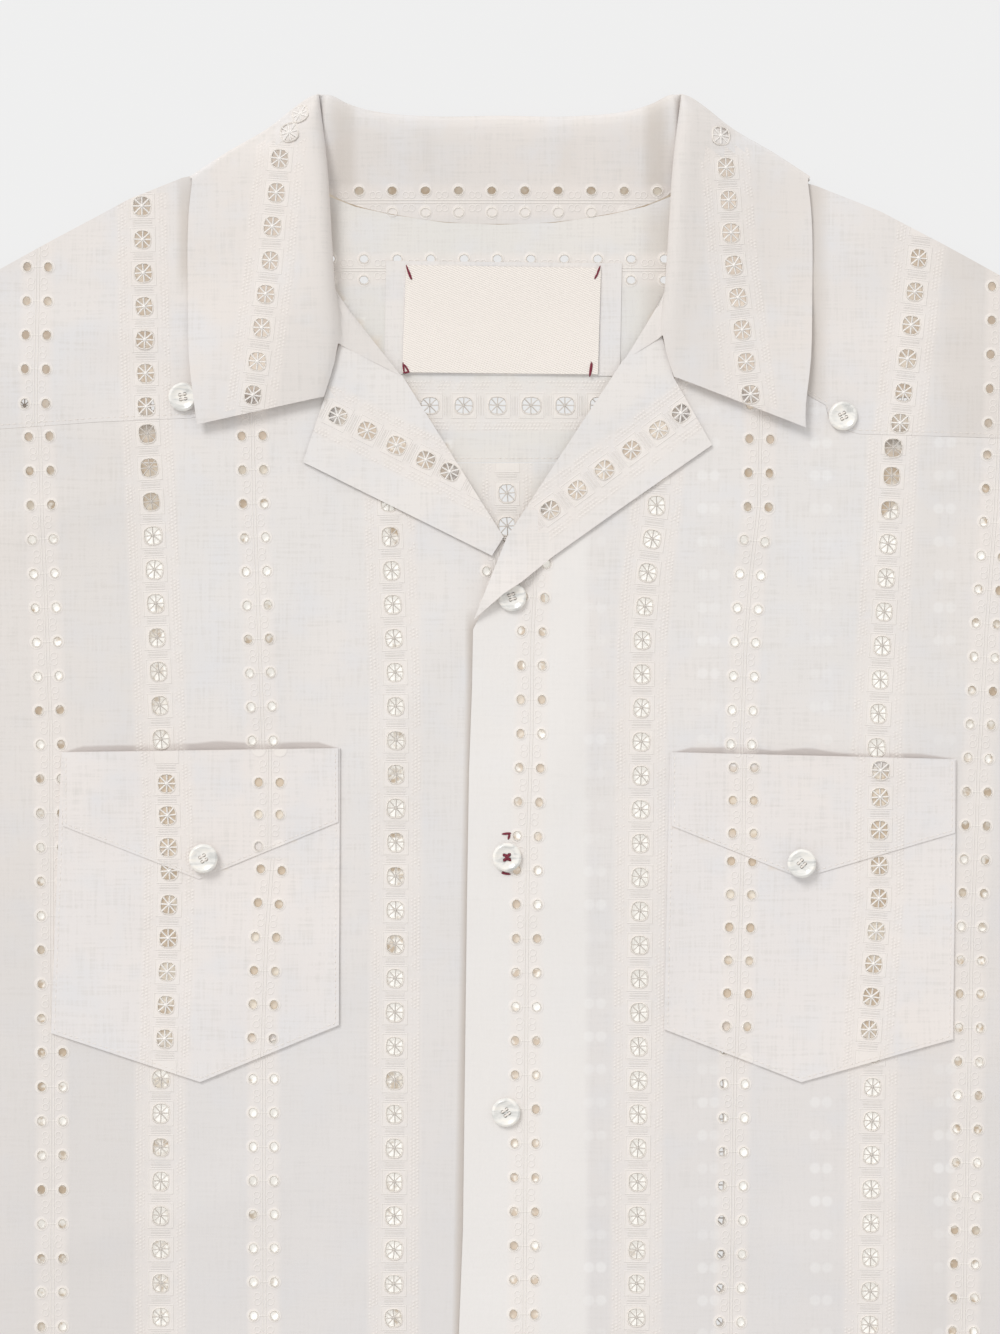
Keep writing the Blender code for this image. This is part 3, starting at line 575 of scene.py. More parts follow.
def buildStitchGroup():
    # relief of the embroidery that flanks the eyelets, from the stripe maps
    group = bpy.data.node_groups.new("embroideryRelief", "ShaderNodeTree")
    addSockets(group, [(name, "NodeSocketVector", None) for name in ("Broad", "Narrow", "Place")],
               ["Height", "Pinholes", "Tint"])
    wire = Wiring(group)
    start = wire.node("NodeGroupInput")
    end = wire.node("NodeGroupOutput")
    look = stitchLook
    relief = {}

    # square frame round each eyelet, satin inside it, and bars between the frames
    broad = wire.parts(start.outputs["Broad"])
    across = wire.times(wire.math("ABSOLUTE", broad[0]), mapScale)
    along = wire.times(wire.fromWhole(broad[1]), pitch)
    square = wire.math("MAXIMUM", across, along)
    relief["frame"] = wire.band(square, *look["frame"])
    relief["satin"] = wire.band(square, *look["satin"])
    relief["bars"] = wire.times(wire.band(across, *look["barsAcross"]),
                                wire.plus(*[wire.band(along, *bar) for bar in look["bars"]]))

    # rows of dot stitches beside the frames
    column = wire.over(across, look["dotCell"])
    dotAcross = wire.minus(wire.math("FRACT", column), 0.5)
    stagger = wire.times(wire.math("FLOOR", column), 0.5)
    lengthwise = wire.over(wire.times(broad[1], pitch), look["dotCell"])
    dotAlong = wire.minus(wire.math("FRACT", wire.plus(lengthwise, stagger)), 0.5)
    spot = wire.reach(dotAcross, dotAlong)
    dots = wire.minus(1.0, wire.over(spot, look["dotRadius"]), clamp=True)
    flank = wire.band(across, *look["flank"])
    patch = wire.noise(start.outputs["Place"], look["patchScale"], 1.0)
    kept = wire.times(wire.minus(patch, look["patchFrom"]), look["patchGain"], clamp=True)
    relief["dots"] = wire.times(wire.times(dots, flank), kept)

    # corded double line, sprigs and satin rings of the narrow stripe
    narrow = wire.parts(start.outputs["Narrow"])
    slimAcross = wire.times(wire.math("ABSOLUTE", narrow[0]), mapScale)
    slimAlong = wire.times(wire.fromWhole(narrow[1]), pitch)
    relief["cord"] = wire.band(slimAcross, *look["cord"])
    leaf = wire.reach(wire.minus(slimAcross, look["leafCentre"][0]),
                      wire.minus(slimAlong, look["leafCentre"][1]))
    relief["sprig"] = wire.band(leaf, *look["leaf"])
    relief["cross"] = wire.times(wire.band(slimAlong, *look["crossAlong"]),
                                 wire.band(slimAcross, *look["crossAcross"]))
    ring = wire.reach(wire.minus(slimAcross, look["ringCentre"]), slimAlong)
    relief["ring"] = wire.band(ring, *look["ring"])

    total = 0.0
    for name, height in look["heights"].items():
        total = wire.plus(total, wire.times(relief[name], height))
    wire.feed(total, end.inputs["Height"])
    pin = wire.times(wire.math("GREATER_THAN", spot, look["pinholeReach"]), flank)
    wire.feed(wire.times(pin, kept), end.inputs["Pinholes"])
    thick = wire.math("MAXIMUM", wire.band(across, *look["broadTint"]),
                      wire.band(slimAcross, *look["narrowTint"]))
    wire.feed(wire.times(thick, wire.scaled(patch, look["tintGain"], look["tintFrom"])), end.inputs["Tint"])
    return group


weaveGroup = buildWeaveGroup()
stitchGroup = buildStitchGroup()


def newMaterial(name):
    made = bpy.data.materials.new(name)
    made.use_nodes = True
    made.cycles.emission_sampling = "NONE"
    wire = Wiring(made.node_tree)
    shader = made.node_tree.nodes["Principled BSDF"]
    place = wire.node("ShaderNodeTexCoord").outputs["Object"]
    return made, wire, shader, place


def setConstants(shader, values):
    for name, value in values.items():
        shader.inputs[name].default_value = value


toneLook = {
    "patches": [  # warm clouds, then smaller cool ones
        {"scale": 9.0, "detail": 2.0, "from": 0.42, "gain": 2.4, "share": 0.85,
         "colour": (0.865, 0.80, 0.755, 1.0)},
        {"scale": 55.0, "detail": 3.0, "from": 0.46, "gain": 4.0, "share": 0.7,
         "colour": (0.775, 0.765, 0.775, 1.0)},
    ],
    "slubGain": 2.8, "slubColour": (0.68, 0.65, 0.62, 1.0),
    "lowerFrom": 150.0, "lowerReach": 260.0, "lowerShare": 0.62, "lowerColour": (0.715, 0.69, 0.685, 1.0),
    # painted shade for valleys beside folds and for sides turned from the light
    "foldShadeColour": (0.62, 0.56, 0.505, 1.0), "foldShadeSoft": 12.0,
}
# colour and reach of the painted shade at a pocket's mouth
mouthShadeLook = {
    "colour": (0.56, 0.505, 0.48, 1.0), "share": 0.8, "soft": 0.9, "below": -6.0,
    "wobbleScale": 38.0, "wobbleGain": 5.5, "wobbleFrom": 0.1, "taper": 900.0,
}
placketLook = {
    "doubled": (-30.0, 36.5, 3.0), "doubledShare": 0.7, "doubledColour": (0.86, 0.832, 0.808, 1.0),
    "faintColumns": (38.0, 83.5, 128.5, 178.0), "faintPitch": 13.2, "faintHalfGap": 2.4, "faintRadius": 2.6,
    "sheerScale": 22.0, "sheerFrom": 0.3, "faintColour": (0.93, 0.925, 0.915, 1.0),
    "edgeTop": 119.2, "edgeSlope": 0.02025, "edgeStart": -13.3,
    "shade": (-9.0, 3.4, 2.2), "shadeTop": 152.0, "shadeFade": 9.0, "shadeShare": 0.85,
    "shadeColour": (0.60, 0.545, 0.50, 1.0),
}
# colours of the painted shade and painted light seen through eyelets, and of their painted glow
eyeletShadeLook = {
    "shade": (0.43, 0.365, 0.295, 1.0), "shadeGlow": (0.27, 0.222, 0.168, 1.0),
    "beige": (0.62, 0.575, 0.51, 1.0), "beigeGlow": (0.28, 0.26, 0.225, 1.0),
    "bright": (0.95, 0.945, 0.93, 1.0), "brightGlow": (0.30, 0.30, 0.285, 1.0),
    "liftedGlow": (0.44, 0.40, 0.36, 1.0),
    "speckScale": 430.0, "speckGain": 0.5, "spotScale": 90.0, "spotGain": 7.0,
    "paleScale": 70.0, "paleFrom": 0.52, "paleGain": 4.0, "paleStart": 0.4,
}
cottonLook = {
    "thread": (0.92, 0.87, 0.82, 1.0), "threadGain": 0.75,
    "tint": (0.865, 0.80, 0.755, 1.0), "tintShare": 0.6,
    "pinhole": (0.58, 0.53, 0.47, 1.0), "pinholeShare": 0.3,
    "weaveDepth": 0.3, "stitchDepth": 0.8, "bumpStrength": 0.55, "bumpDistance": 0.0006,
    "surface": {"Roughness": 0.88, "Sheen Weight": 0.12, "Sheen Roughness": 0.5, "Specular IOR Level": 0.2},
}


def clothTone(wire, place, slub, base):
    colour = base
    for look in toneLook["patches"]:
        patches = wire.minus(wire.noise(place, look["scale"], look["detail"]), look["from"])
        patches = wire.times(patches, look["gain"], clamp=True)
        colour = wire.fade(colour, patches, look["share"], look["colour"])
    slubs = wire.times(wire.minus(slub, 0.5), toneLook["slubGain"])
    return wire.mixColour(slubs, colour, toneLook["slubColour"])


def pocketMouthShade(wire, place, across, up, colour, mouth):
    # painted shade that a pocket's open mouth casts on the front behind it
    start, end, outerY, slope = mouth
    look = mouthShadeLook
    above = wire.minus(up, wire.scaled(wire.minus(across, start), slope, outerY))
    wobble = wire.scaled(wire.noise(place, look["wobbleScale"], 1.0), look["wobbleGain"], look["wobbleFrom"])
    ends = wire.times(wire.minus(across, start), wire.minus(end, across))
    reach = wire.times(wobble, wire.over(ends, look["taper"], clamp=True))
    gape = wire.times(wire.math("GREATER_THAN", above, look["below"]),
                      wire.over(wire.minus(reach, above), look["soft"], clamp=True))
    gape = wire.times(gape, wire.math("GREATER_THAN", ends, 0.0))
    return wire.fade(colour, gape, look["share"], look["colour"])


def doubledPlacket(wire, place, across, up, colour):
    # doubled cloth down the front edge, and the back's eyelets that show faintly through the single layer
    look = placketLook
    colour = wire.fade(colour, wire.band(across, *look["doubled"]), look["doubledShare"],
                       look["doubledColour"])
    row = wire.times(wire.minus(wire.math("FRACT", wire.over(up, look["faintPitch"])), 0.5),
                     look["faintPitch"])
    faint = 0.0
    for column in look["faintColumns"]:
        offset = wire.math("ABSOLUTE", wire.minus(across, column))
        spot = wire.reach(wire.minus(offset, look["faintHalfGap"]), row)
        faint = wire.math("MAXIMUM", faint, wire.minus(look["faintRadius"], spot, clamp=True))
    sheer = wire.minus(wire.noise(place, look["sheerScale"], 1.0), look["sheerFrom"], clamp=True)
    return wire.mixColour(wire.times(faint, sheer), colour, look["faintColour"])


def besidePlacketShade(wire, across, up, colour):
    # painted soft shade beside the front edge that lies on this front
    look = placketLook
    edge = wire.scaled(wire.math("MINIMUM", up, look["edgeTop"]), look["edgeSlope"], look["edgeStart"])
    beside = wire.band(wire.minus(edge, across), *look["shade"])
    beside = wire.times(beside, wire.over(wire.minus(look["shadeTop"], up), look["shadeFade"], clamp=True))
    return wire.fade(colour, beside, look["shadeShare"], look["shadeColour"])


def paintedEyeletShade(wire, place, colour, covered):
    # painted light and shade for cloth under another layer, which is seen only through eyelets: a painted
    # warm shade, painted pale spots where light comes up, and a painted glow
    look = eyeletShadeLook
    lit, lifted = [wire.node("ShaderNodeAttribute", attribute_name=name).outputs["Fac"]
                   for name in ("lit", "lifted")]
    specks = wire.times(wire.minus(wire.noise(place, look["speckScale"], 1.0), 0.5), look["speckGain"])
    spots = wire.plus(wire.minus(wire.noise(place, look["spotScale"], 1.0), 1.0), lit)
    spots = wire.scaled(wire.plus(spots, specks), look["spotGain"], 0.5, clamp=True)
    pale = wire.plus(wire.minus(wire.noise(place, look["paleScale"], 1.0), look["paleFrom"]), specks)
    pale = wire.scaled(pale, look["paleGain"], look["paleStart"], clamp=True)
    under = wire.mixColour(pale, look["shade"], look["beige"])
    colour = wire.mixColour(covered, colour, wire.mixColour(spots, under, look["bright"]))
    glow = wire.mixColour(pale, look["shadeGlow"], look["beigeGlow"])
    glow = wire.mixColour(lifted, glow, look["liftedGlow"])
    glow = wire.mixColour(spots, glow, look["brightGlow"])
    return colour, wire.mixColour(covered, (0.0, 0.0, 0.0, 1.0), glow)


def cottonMaterial(name, base, placket=False, underPlacket=False, mouth=None, foldShades=()):
    made, wire, shader, place = newMaterial(name)
    weave = wire.node("ShaderNodeGroup", node_tree=weaveGroup)
    wire.feed(place, weave.inputs["Place"])
    colour = clothTone(wire, place, weave.outputs["Slub"], base)
    spot = wire.parts(place)
    across = wire.times(spot[0], 1000.0)
    up = wire.times(spot[1], 1000.0)
    if placket or underPlacket:  # the fronts turn darker and cooler towards the hem
        lower = wire.over(wire.minus(toneLook["lowerFrom"], up), toneLook["lowerReach"], clamp=True)
        colour = wire.fade(colour, lower, toneLook["lowerShare"], toneLook["lowerColour"])
    # painted shade: darker bands where shade falls in valleys beside folds and on sides turned from the light
    for low, high, bottom, top, soft, share in foldShades:  # shaded valleys and softly shaded sides
        valley = wire.times(wire.band(across, low, high, soft),
                            wire.band(up, bottom, top, toneLook["foldShadeSoft"]))
        colour = wire.fade(colour, valley, share, toneLook["foldShadeColour"])
    if mouth:
        colour = pocketMouthShade(wire, place, across, up, colour, mouth)
    if placket:
        colour = doubledPlacket(wire, place, across, up, colour)
    if underPlacket:
        colour = besidePlacketShade(wire, across, up, colour)
    covered = wire.node("ShaderNodeAttribute", attribute_name="covered").outputs["Fac"]
    bare = wire.minus(1.0, covered)
    colour, glow = paintedEyeletShade(wire, place, colour, covered)
    # the painted glow of covered eyelets goes in as emission, though the cloth is no lamp
    wire.feed(glow, shader.inputs["Emission Color"])
    shader.inputs["Emission Strength"].default_value = 1.0
    relief = wire.node("ShaderNodeGroup", node_tree=stitchGroup)
    wire.feed(place, relief.inputs["Place"])
    for kind in ("broad", "narrow"):
        wire.feed(wire.node("ShaderNodeUVMap", uv_map=kind).outputs[0], relief.inputs[kind.capitalize()])
    raised = wire.times(relief.outputs["Height"], cottonLook["threadGain"], clamp=True)
    tint = wire.times(relief.outputs["Tint"], bare)
    colour = wire.fade(colour, tint, cottonLook["tintShare"], cottonLook["tint"])
    colour = wire.mixColour(wire.times(raised, bare), colour, cottonLook["thread"])
    # pinholes are painted darker: painted shade inside the tiny holes
    pinholes = wire.times(relief.outputs["Pinholes"], bare)
    colour = wire.fade(colour, pinholes, cottonLook["pinholeShare"], cottonLook["pinhole"])
    height = wire.plus(wire.times(weave.outputs["Height"], cottonLook["weaveDepth"]),
                       wire.times(relief.outputs["Height"], cottonLook["stitchDepth"]))
    wire.feed(colour, shader.inputs["Base Color"])
    wire.feed(wire.bump(wire.times(height, bare), cottonLook["bumpStrength"], cottonLook["bumpDistance"]),
              shader.inputs["Normal"])
    setConstants(shader, cottonLook["surface"])
    return made


twistLook = {"scale": 900.0, "distortion": 1.5, "share": 0.4, "bumpStrength": 0.4, "bumpDistance": 0.0002}


def threadMaterial(name, colour, shade, roughness=0.6):
    made, wire, shader, place = newMaterial(name)
    twist = wire.node("ShaderNodeTexWave")
    twist.inputs["Scale"].default_value = twistLook["scale"]
    twist.inputs["Distortion"].default_value = twistLook["distortion"]
    wire.feed(place, twist.inputs["Vector"])
    # the twist's grooves are darkened with the shade colour, a painted shade
    wire.feed(wire.fade(colour, twist.outputs["Fac"], twistLook["share"], shade), shader.inputs["Base Color"])
    wire.feed(wire.bump(twist.outputs["Fac"], twistLook["bumpStrength"], twistLook["bumpDistance"]),
              shader.inputs["Normal"])
    shader.inputs["Roughness"].default_value = roughness
    return made


pearlLook = {
    "stretch": (90.0, 260.0, 90.0), "turn": 0.5, "detail": 3.0, "distortion": 1.8,
    "dull": (0.3, (0.62, 0.62, 0.60, 1.0)), "milky": (0.5, (0.87, 0.855, 0.82, 1.0)),
    "warm": (0.68, (0.95, 0.91, 0.84, 1.0)), "roughFrom": 0.14, "roughGain": 0.2,
    "surface": {"Coat Weight": 0.6, "Coat Roughness": 0.08},
}


def pearlMaterial():
    made, wire, shader, place = newMaterial("motherOfPearl")
    bands = wire.noise(wire.stretched(place, pearlLook["stretch"], pearlLook["turn"]), 1.0,
                       pearlLook["detail"], pearlLook["distortion"])
    lustre = wire.node("ShaderNodeValToRGB")
    stops = lustre.color_ramp.elements
    stops[0].position, stops[0].color = pearlLook["dull"]
    stops[1].position, stops[1].color = pearlLook["warm"]
    stops.new(pearlLook["milky"][0]).color = pearlLook["milky"][1]
    wire.feed(bands, lustre.inputs[0])
    wire.feed(lustre.outputs[0], shader.inputs["Base Color"])
    wire.feed(wire.scaled(bands, pearlLook["roughGain"], pearlLook["roughFrom"]), shader.inputs["Roughness"])
    setConstants(shader, pearlLook["surface"])
    return made


twillLook = {
    "steepness": 2.4, "ribs": 2900.0, "ribShare": 0.1, "high": (0.97, 0.905, 0.845, 1.0),
    "low": (0.80, 0.73, 0.66, 1.0), "cloudScale": 70.0, "cloudShare": 0.15, "cloud": (0.88, 0.83, 0.77, 1.0),
    "bumpStrength": 0.5, "bumpDistance": 0.0003, "surface": {"Roughness": 0.7, "Sheen Weight": 0.2},
}


def twillMaterial():
    made, wire, shader, place = newMaterial("labelTwill")
    spot = wire.parts(place)
    slant = wire.plus(spot[0], wire.times(spot[1], twillLook["steepness"]))
    rib = wire.math("SINE", wire.times(slant, twillLook["ribs"]))
    colour = wire.fade(twillLook["high"], wire.plus(rib, 1.0), twillLook["ribShare"], twillLook["low"])
    colour = wire.fade(colour, wire.noise(place, twillLook["cloudScale"]), twillLook["cloudShare"],
                       twillLook["cloud"])
    wire.feed(colour, shader.inputs["Base Color"])
    wire.feed(wire.bump(rib, twillLook["bumpStrength"], twillLook["bumpDistance"]), shader.inputs["Normal"])
    setConstants(shader, twillLook["surface"])
    return made


frontTone = (0.795, 0.765, 0.745, 1.0)
materials = {
    # mouth: where the painted mouth shade lies: its two ends, its height at the first and its slope
    # painted fold shade: low, high, bottom, top, soft, share
    "body": cottonMaterial("bodyCotton", frontTone),
    "underFront": cottonMaterial("underFrontCotton", frontTone, underPlacket=True,
                                 mouth=(-175.2, -64.0, 94.0, 0.0144),
                                 foldShades=[(-249, -132, -380, 230, 14.0, 0.16)]),
    "overFront": cottonMaterial("overFrontCotton", frontTone, placket=True,
                                mouth=(68.0, 182.4, 94.0, -0.0245),
                                foldShades=[(156, 249, -380, 230, 14.0, 0.12)]),
    "yoke": cottonMaterial("yokeCotton", (0.78, 0.75, 0.733, 1.0),
                           foldShades=[(-130, -118, 276, 330, 3.0, 0.6), (118, 132, 226, 330, 5.0, 0.5),
                                  (166, 262, 205, 330, 16.0, 0.36)]),
    "collar": cottonMaterial("collarCotton", (0.777, 0.735, 0.705, 1.0),
                             foldShades=[(-68.5, -56.0, 306, 362, 4.0, 0.5), (56.0, 68.0, 306, 362, 4.0, 0.6),
                                    (-34, -24, 322, 350, 5.0, 0.14), (20, 33, 318, 345, 6.0, 0.14)]),
    "lapel": cottonMaterial("lapelCotton", (0.824, 0.789, 0.764, 1.0)),
    "pocket": cottonMaterial("pocketCotton", (0.813, 0.776, 0.762, 1.0)),
    "back": cottonMaterial("backCotton", (0.777, 0.756, 0.723, 1.0),
                           foldShades=[(55, 80, 256, 318, 5.5, 0.4), (-80, -63, 256, 318, 4.0, 0.35)]),
    "thread": threadMaterial("ivoryThread", (0.93, 0.875, 0.82, 1.0), (0.78, 0.715, 0.65, 1.0)),
    # web and webPale are one thread in two tones: web is painted darker, as shade, for webs seen against
    # light coming up through the holes; webPale is painted paler, as light, to stay bright in the painted
    # shade of covered eyelets
    "web": threadMaterial("shadedWebThread", (0.74, 0.69, 0.64, 1.0), (0.66, 0.61, 0.55, 1.0)),
    "webPale": threadMaterial("lightenedWebThread", (0.97, 0.935, 0.90, 1.0), (0.91, 0.865, 0.825, 1.0)),
    "crimson": threadMaterial("crimsonThread", (0.22, 0.012, 0.036, 1.0), (0.10, 0.006, 0.018, 1.0), 0.5),
    "pearl": pearlMaterial(),
    "label": twillMaterial(),
}
print("materials made")


# making and cutting cloth

upward = Vector((0, 0, 1))


def meshFrom(shape, name):
    mesh = bpy.data.meshes.new(name)
    shape.to_mesh(mesh)
    shape.free()
    return mesh


def moved(x, y, z):
    return Matrix.Translation((x * mm, y * mm, z * mm))


def turned(angle):
    return Matrix.Rotation(angle, 4, "Z")


def sized(x, y, z):
    return Matrix.Diagonal((x * mm, y * mm, z * mm, 1.0))


def lyingOn(x, y, height, normal, angle):
    tilt = upward.rotation_difference(normal).to_matrix().to_4x4()
    return moved(x, y, height) @ tilt @ turned(angle)


def finishPiece(name, mesh, material, nodes=()):
    piece = bpy.data.objects.new(name, mesh)
    bpy.context.scene.collection.objects.link(piece)
    piece.data.materials.append(material)
    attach(piece, "root")
    if nodes:
        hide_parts(*nodes)
    return piece


def bakeModifiers(piece):
    depsgraph = bpy.context.evaluated_depsgraph_get()
    mesh = bpy.data.meshes.new_from_object(piece.evaluated_get(depsgraph))
    piece.modifiers.clear()
    return mesh


def cutClothShape(outline, cell, thickness):
    # the outline as one face, parted into cells, then given its thickness
    shape = bmesh.new()
    shape.faces.new([shape.verts.new((x * mm, y * mm, 0.0)) for x, y in outline])
    for axis in (0, 1):
        low = min(point[axis] for point in outline)
        high = max(point[axis] for point in outline)
        line = cell * math.floor(low / cell) + cloth["gridShift"] * cell
        normal = Vector((1.0 - axis, float(axis), 0.0))
        while line < high:
            parts = shape.verts[:] + shape.edges[:] + shape.faces[:]
            bmesh.ops.bisect_plane(shape, geom=parts, dist=1e-7, plane_co=normal * line * mm, plane_no=normal)
            line += cell
    made = bmesh.ops.extrude_face_region(shape, geom=shape.faces[:])
    raised = [item for item in made["geom"] if isinstance(item, bmesh.types.BMVert)]
    bmesh.ops.translate(shape, verts=raised, vec=(0.0, 0.0, thickness * mm))
    bmesh.ops.recalc_face_normals(shape, faces=shape.faces[:])
    return shape


eyeletSizes = {
    "broad": {"across": 3.35, "along": 3.65, "power": 3.0, "segments": 16, "pairGap": 0.0, "margin": 4.2},
    "narrow": {"across": 1.75, "along": 1.95, "power": 2.0, "segments": 10, "pairGap": 4.2, "margin": 2.6},
}


def roundedRadius(angle, power):
    return (abs(math.cos(angle)) ** power + abs(math.sin(angle)) ** power) ** (-1.0 / power)


def eyeletSpots(row):
    # one spot for a broad eyelet, two side by side for a narrow one
    size = eyeletSizes[row["kind"]]
    spots = []
    for x, y, angle in stripePlaces(row):
        if size["pairGap"] == 0.0:
            spots.append((x, y, angle))
            continue
        for side in (-1.0, 1.0):
            offset = side * size["pairGap"]
            spots.append((x - offset * math.sin(angle), y + offset * math.cos(angle), angle))
    return spots


def fittedSpot(outline, spot, kind):
    # a broad eyelet too near a seam moves a little along its stripe; one that still has no room is left out
    x, y, angle = spot
    for shift in ((0.0, -1.2, 1.2, -2.4, 2.4) if kind == "broad" else (0.0,)):
        place = (x + shift * math.cos(angle), y + shift * math.sin(angle))
        if clearOf(outline, *place, eyeletSizes[kind]["margin"]):
            return (*place, angle)
    return None


def eyeletTemplate(kind, low, high):
    # straight-sided plug with the eyelet's rounded outline, its long axis along the stripe (+X)
    size = eyeletSizes[kind]
    shape = bmesh.new()
    bmesh.ops.create_cone(shape, cap_ends=True, segments=size["segments"], radius1=1.0, radius2=1.0,
                          depth=1.0)
    for vert in shape.verts:
        angle = math.atan2(vert.co.y, vert.co.x)
        reach = roundedRadius(angle, size["power"])
        vert.co.x = reach * math.cos(angle) * size["along"] * mm
        vert.co.y = reach * math.sin(angle) * size["across"] * mm
        vert.co.z = (high if vert.co.z > 0.0 else low) * mm
    return meshFrom(shape, kind + "Plug")


def scatteredMesh(name, *groups):
    # copies of small meshes joined into one; a group is a mesh and its places
    joined = bmesh.new()
    for template, places in groups:
        for place in places:
            copy = template.copy()
            copy.transform(place)
            joined.from_mesh(copy)
            bpy.data.meshes.remove(copy)
    return meshFrom(joined, name)


def cutAway(piece, cutterMesh):
    # the piece's mesh with the cutter taken out of it
    cutter = bpy.data.objects.new(cutterMesh.name, cutterMesh)
    bpy.context.scene.collection.objects.link(cutter)
    modifier = piece.modifiers.new("holes", "BOOLEAN")
    modifier.operation = "DIFFERENCE"
    modifier.object = cutter
    mesh = bakeModifiers(piece)
    bpy.data.objects.remove(cutter)
    return mesh


def cutEyelets(piece, spotsByKind, low, high):
    groups = [(eyeletTemplate(kind, low, high), [lyingOn(x, y, 0.0, upward, angle) for x, y, angle in spots])
              for kind, spots in spotsByKind.items()]
    piece.data = cutAway(piece, scatteredMesh("eyeletCutter", *groups))


rimSizes = {"broad": {"radius": 0.5, "around": 14}, "narrow": {"radius": 0.46, "around": 9}}
rimLook = {"overlap": 0.12, "flatten": 0.8, "bars": 4, "barRise": 0.02}
webSizes = {"web": {"spoke": 0.3, "hub": 0.45}, "webPale": {"spoke": 0.45, "hub": 0.8}}


def buildEyeletMesh(kind, web):
    # raised satin rim, with the spoked web of threads in a broad eyelet
    size = eyeletSizes[kind]
    spoke = webSizes[web]["spoke"] * mm
    shape = bmesh.new()
    ring = bmesh.ops.create_circle(
        shape, cap_ends=False, segments=3, radius=rimSizes[kind]["radius"] * mm,
        matrix=Matrix.Translation((1.0, 0.0, 0.0)) @ Matrix.Rotation(math.pi / 2, 4, "X"))
    bmesh.ops.spin(shape, geom=ring["verts"] + shape.edges[:], cent=(0, 0, 0), axis=(0, 0, 1),
                   dvec=(0, 0, 0), angle=2 * math.pi, steps=rimSizes[kind]["around"], use_merge=True,
                   use_duplicate=False)
    bmesh.ops.remove_doubles(shape, verts=shape.verts, dist=1e-6)
    for vert in shape.verts:
        angle = math.atan2(vert.co.y, vert.co.x)
        offset = math.hypot(vert.co.x, vert.co.y) - 1.0
        reach = roundedRadius(angle, size["power"])
        vert.co.x = math.cos(angle) * (reach * (size["along"] + rimLook["overlap"]) * mm + offset)
        vert.co.y = math.sin(angle) * (reach * (size["across"] + rimLook["overlap"]) * mm + offset)
        vert.co.z *= rimLook["flatten"]
    rimFaces = len(shape.faces)
    if kind == "broad":
        for index in range(rimLook["bars"]):
            turn = math.pi * index / rimLook["bars"]
            reach = roundedRadius(turn, size["power"]) * (size["along"] + size["across"]) * mm
            lying = turned(turn) @ moved(0, 0, rimLook["barRise"]) @ Matrix.Rotation(math.pi / 2, 4, "Y")
            bmesh.ops.create_cone(shape, cap_ends=False, segments=3, radius1=spoke, radius2=spoke,
                                  depth=reach, matrix=lying)
        bmesh.ops.create_icosphere(shape, subdivisions=1, radius=webSizes[web]["hub"] * mm)
    bmesh.ops.recalc_face_normals(shape, faces=shape.faces[:])
    for index, face in enumerate(shape.faces):
        face.material_index = 1 if index >= rimFaces else 0
    return meshFrom(shape, kind + "Eyelet")


eyeletMeshes = {(kind, web): buildEyeletMesh(kind, web) for kind in eyeletSizes for web in webSizes}
uneven = {"turn": 0.09, "along": (0.97, 1.05), "across": (0.96, 1.05)}


def embroider(name, spotsByKind, surface, seed, web="webPale"):
    # rims and webs of all the eyelets on one panel; surface gives height and normal
    chance = random.Random(seed)
    groups = []
    for kind, spots in spotsByKind.items():
        places = []
        for x, y, angle in spots:
            found = surface(x, y)
            if found is None:
                continue
            turn = angle + chance.uniform(-uneven["turn"], uneven["turn"])
            size = (chance.uniform(*uneven["along"]), chance.uniform(*uneven["across"]), 1.0, 1.0)
            places.append(lyingOn(x, y, *found, turn) @ Matrix.Diagonal(size))
        groups.append((eyeletMeshes[kind, web], places))
    mesh = scatteredMesh(name, *groups)
    mesh.shade_smooth()
    piece = finishPiece(name, mesh, materials["thread"])
    mesh.materials.append(materials[web])
    return piece


def panelSurface(height, thickness, sink=cloth["sink"]):
    def surface(x, y):
        slopeX = (height(x + 1.0, y) - height(x - 1.0, y)) * 0.5
        slopeY = (height(x, y + 1.0) - height(x, y - 1.0)) * 0.5
        return height(x, y) + sink + thickness, Vector((-slopeX, -slopeY, 1.0)).normalized()
    return surface


def ballMesh(name, subdivisions):
    shape = bmesh.new()
    bmesh.ops.create_icosphere(shape, subdivisions=subdivisions, radius=1.0)
    return meshFrom(shape, name)


stitchMesh = ballMesh("stitch", 1)
tackMesh = ballMesh("tack", 2)
seam = {"pitch": 2.5, "length": 1.9, "radius": 0.16}
tackSize = {"rise": 0.1, "flatten": 0.8, "radius": 0.42}


def stitchPath(line, surface):
    # evenly spaced stitches along a line on a surface
    size = sized(0.5 * seam["length"], seam["radius"], seam["radius"])
    places = []
    walked = 0.0
    wanted = 0.5 * seam["pitch"]
    for start, end in zip(line, line[1:]):
        length = math.dist(start, end)
        angle = math.atan2(end[1] - start[1], end[0] - start[0])
        while wanted <= walked + length:
            x, y = mix(start, end, (wanted - walked) / length)
            places.append(lyingOn(x, y, *surface(x, y), angle) @ size)
            wanted += seam["pitch"]
        walked += length
    return places


def sewThread(name, template, places, look="thread"):
    mesh = scatteredMesh(name, (template, places))
    mesh.shade_smooth()
    return finishPiece(name, mesh, materials[look])


def sewTacks(name, tacks, surface, radius=tackSize["radius"]):
    # single thick crimson stitches: x, y, length, angle
    places = []
    for x, y, length, angle in tacks:
        height, normal = surface(x, y)
        places.append(lyingOn(x, y, height + tackSize["rise"], normal, math.radians(angle))
                      @ sized(0.5 * length, radius, tackSize["flatten"] * radius))
    sewThread(name, tackMesh, places, "crimson")


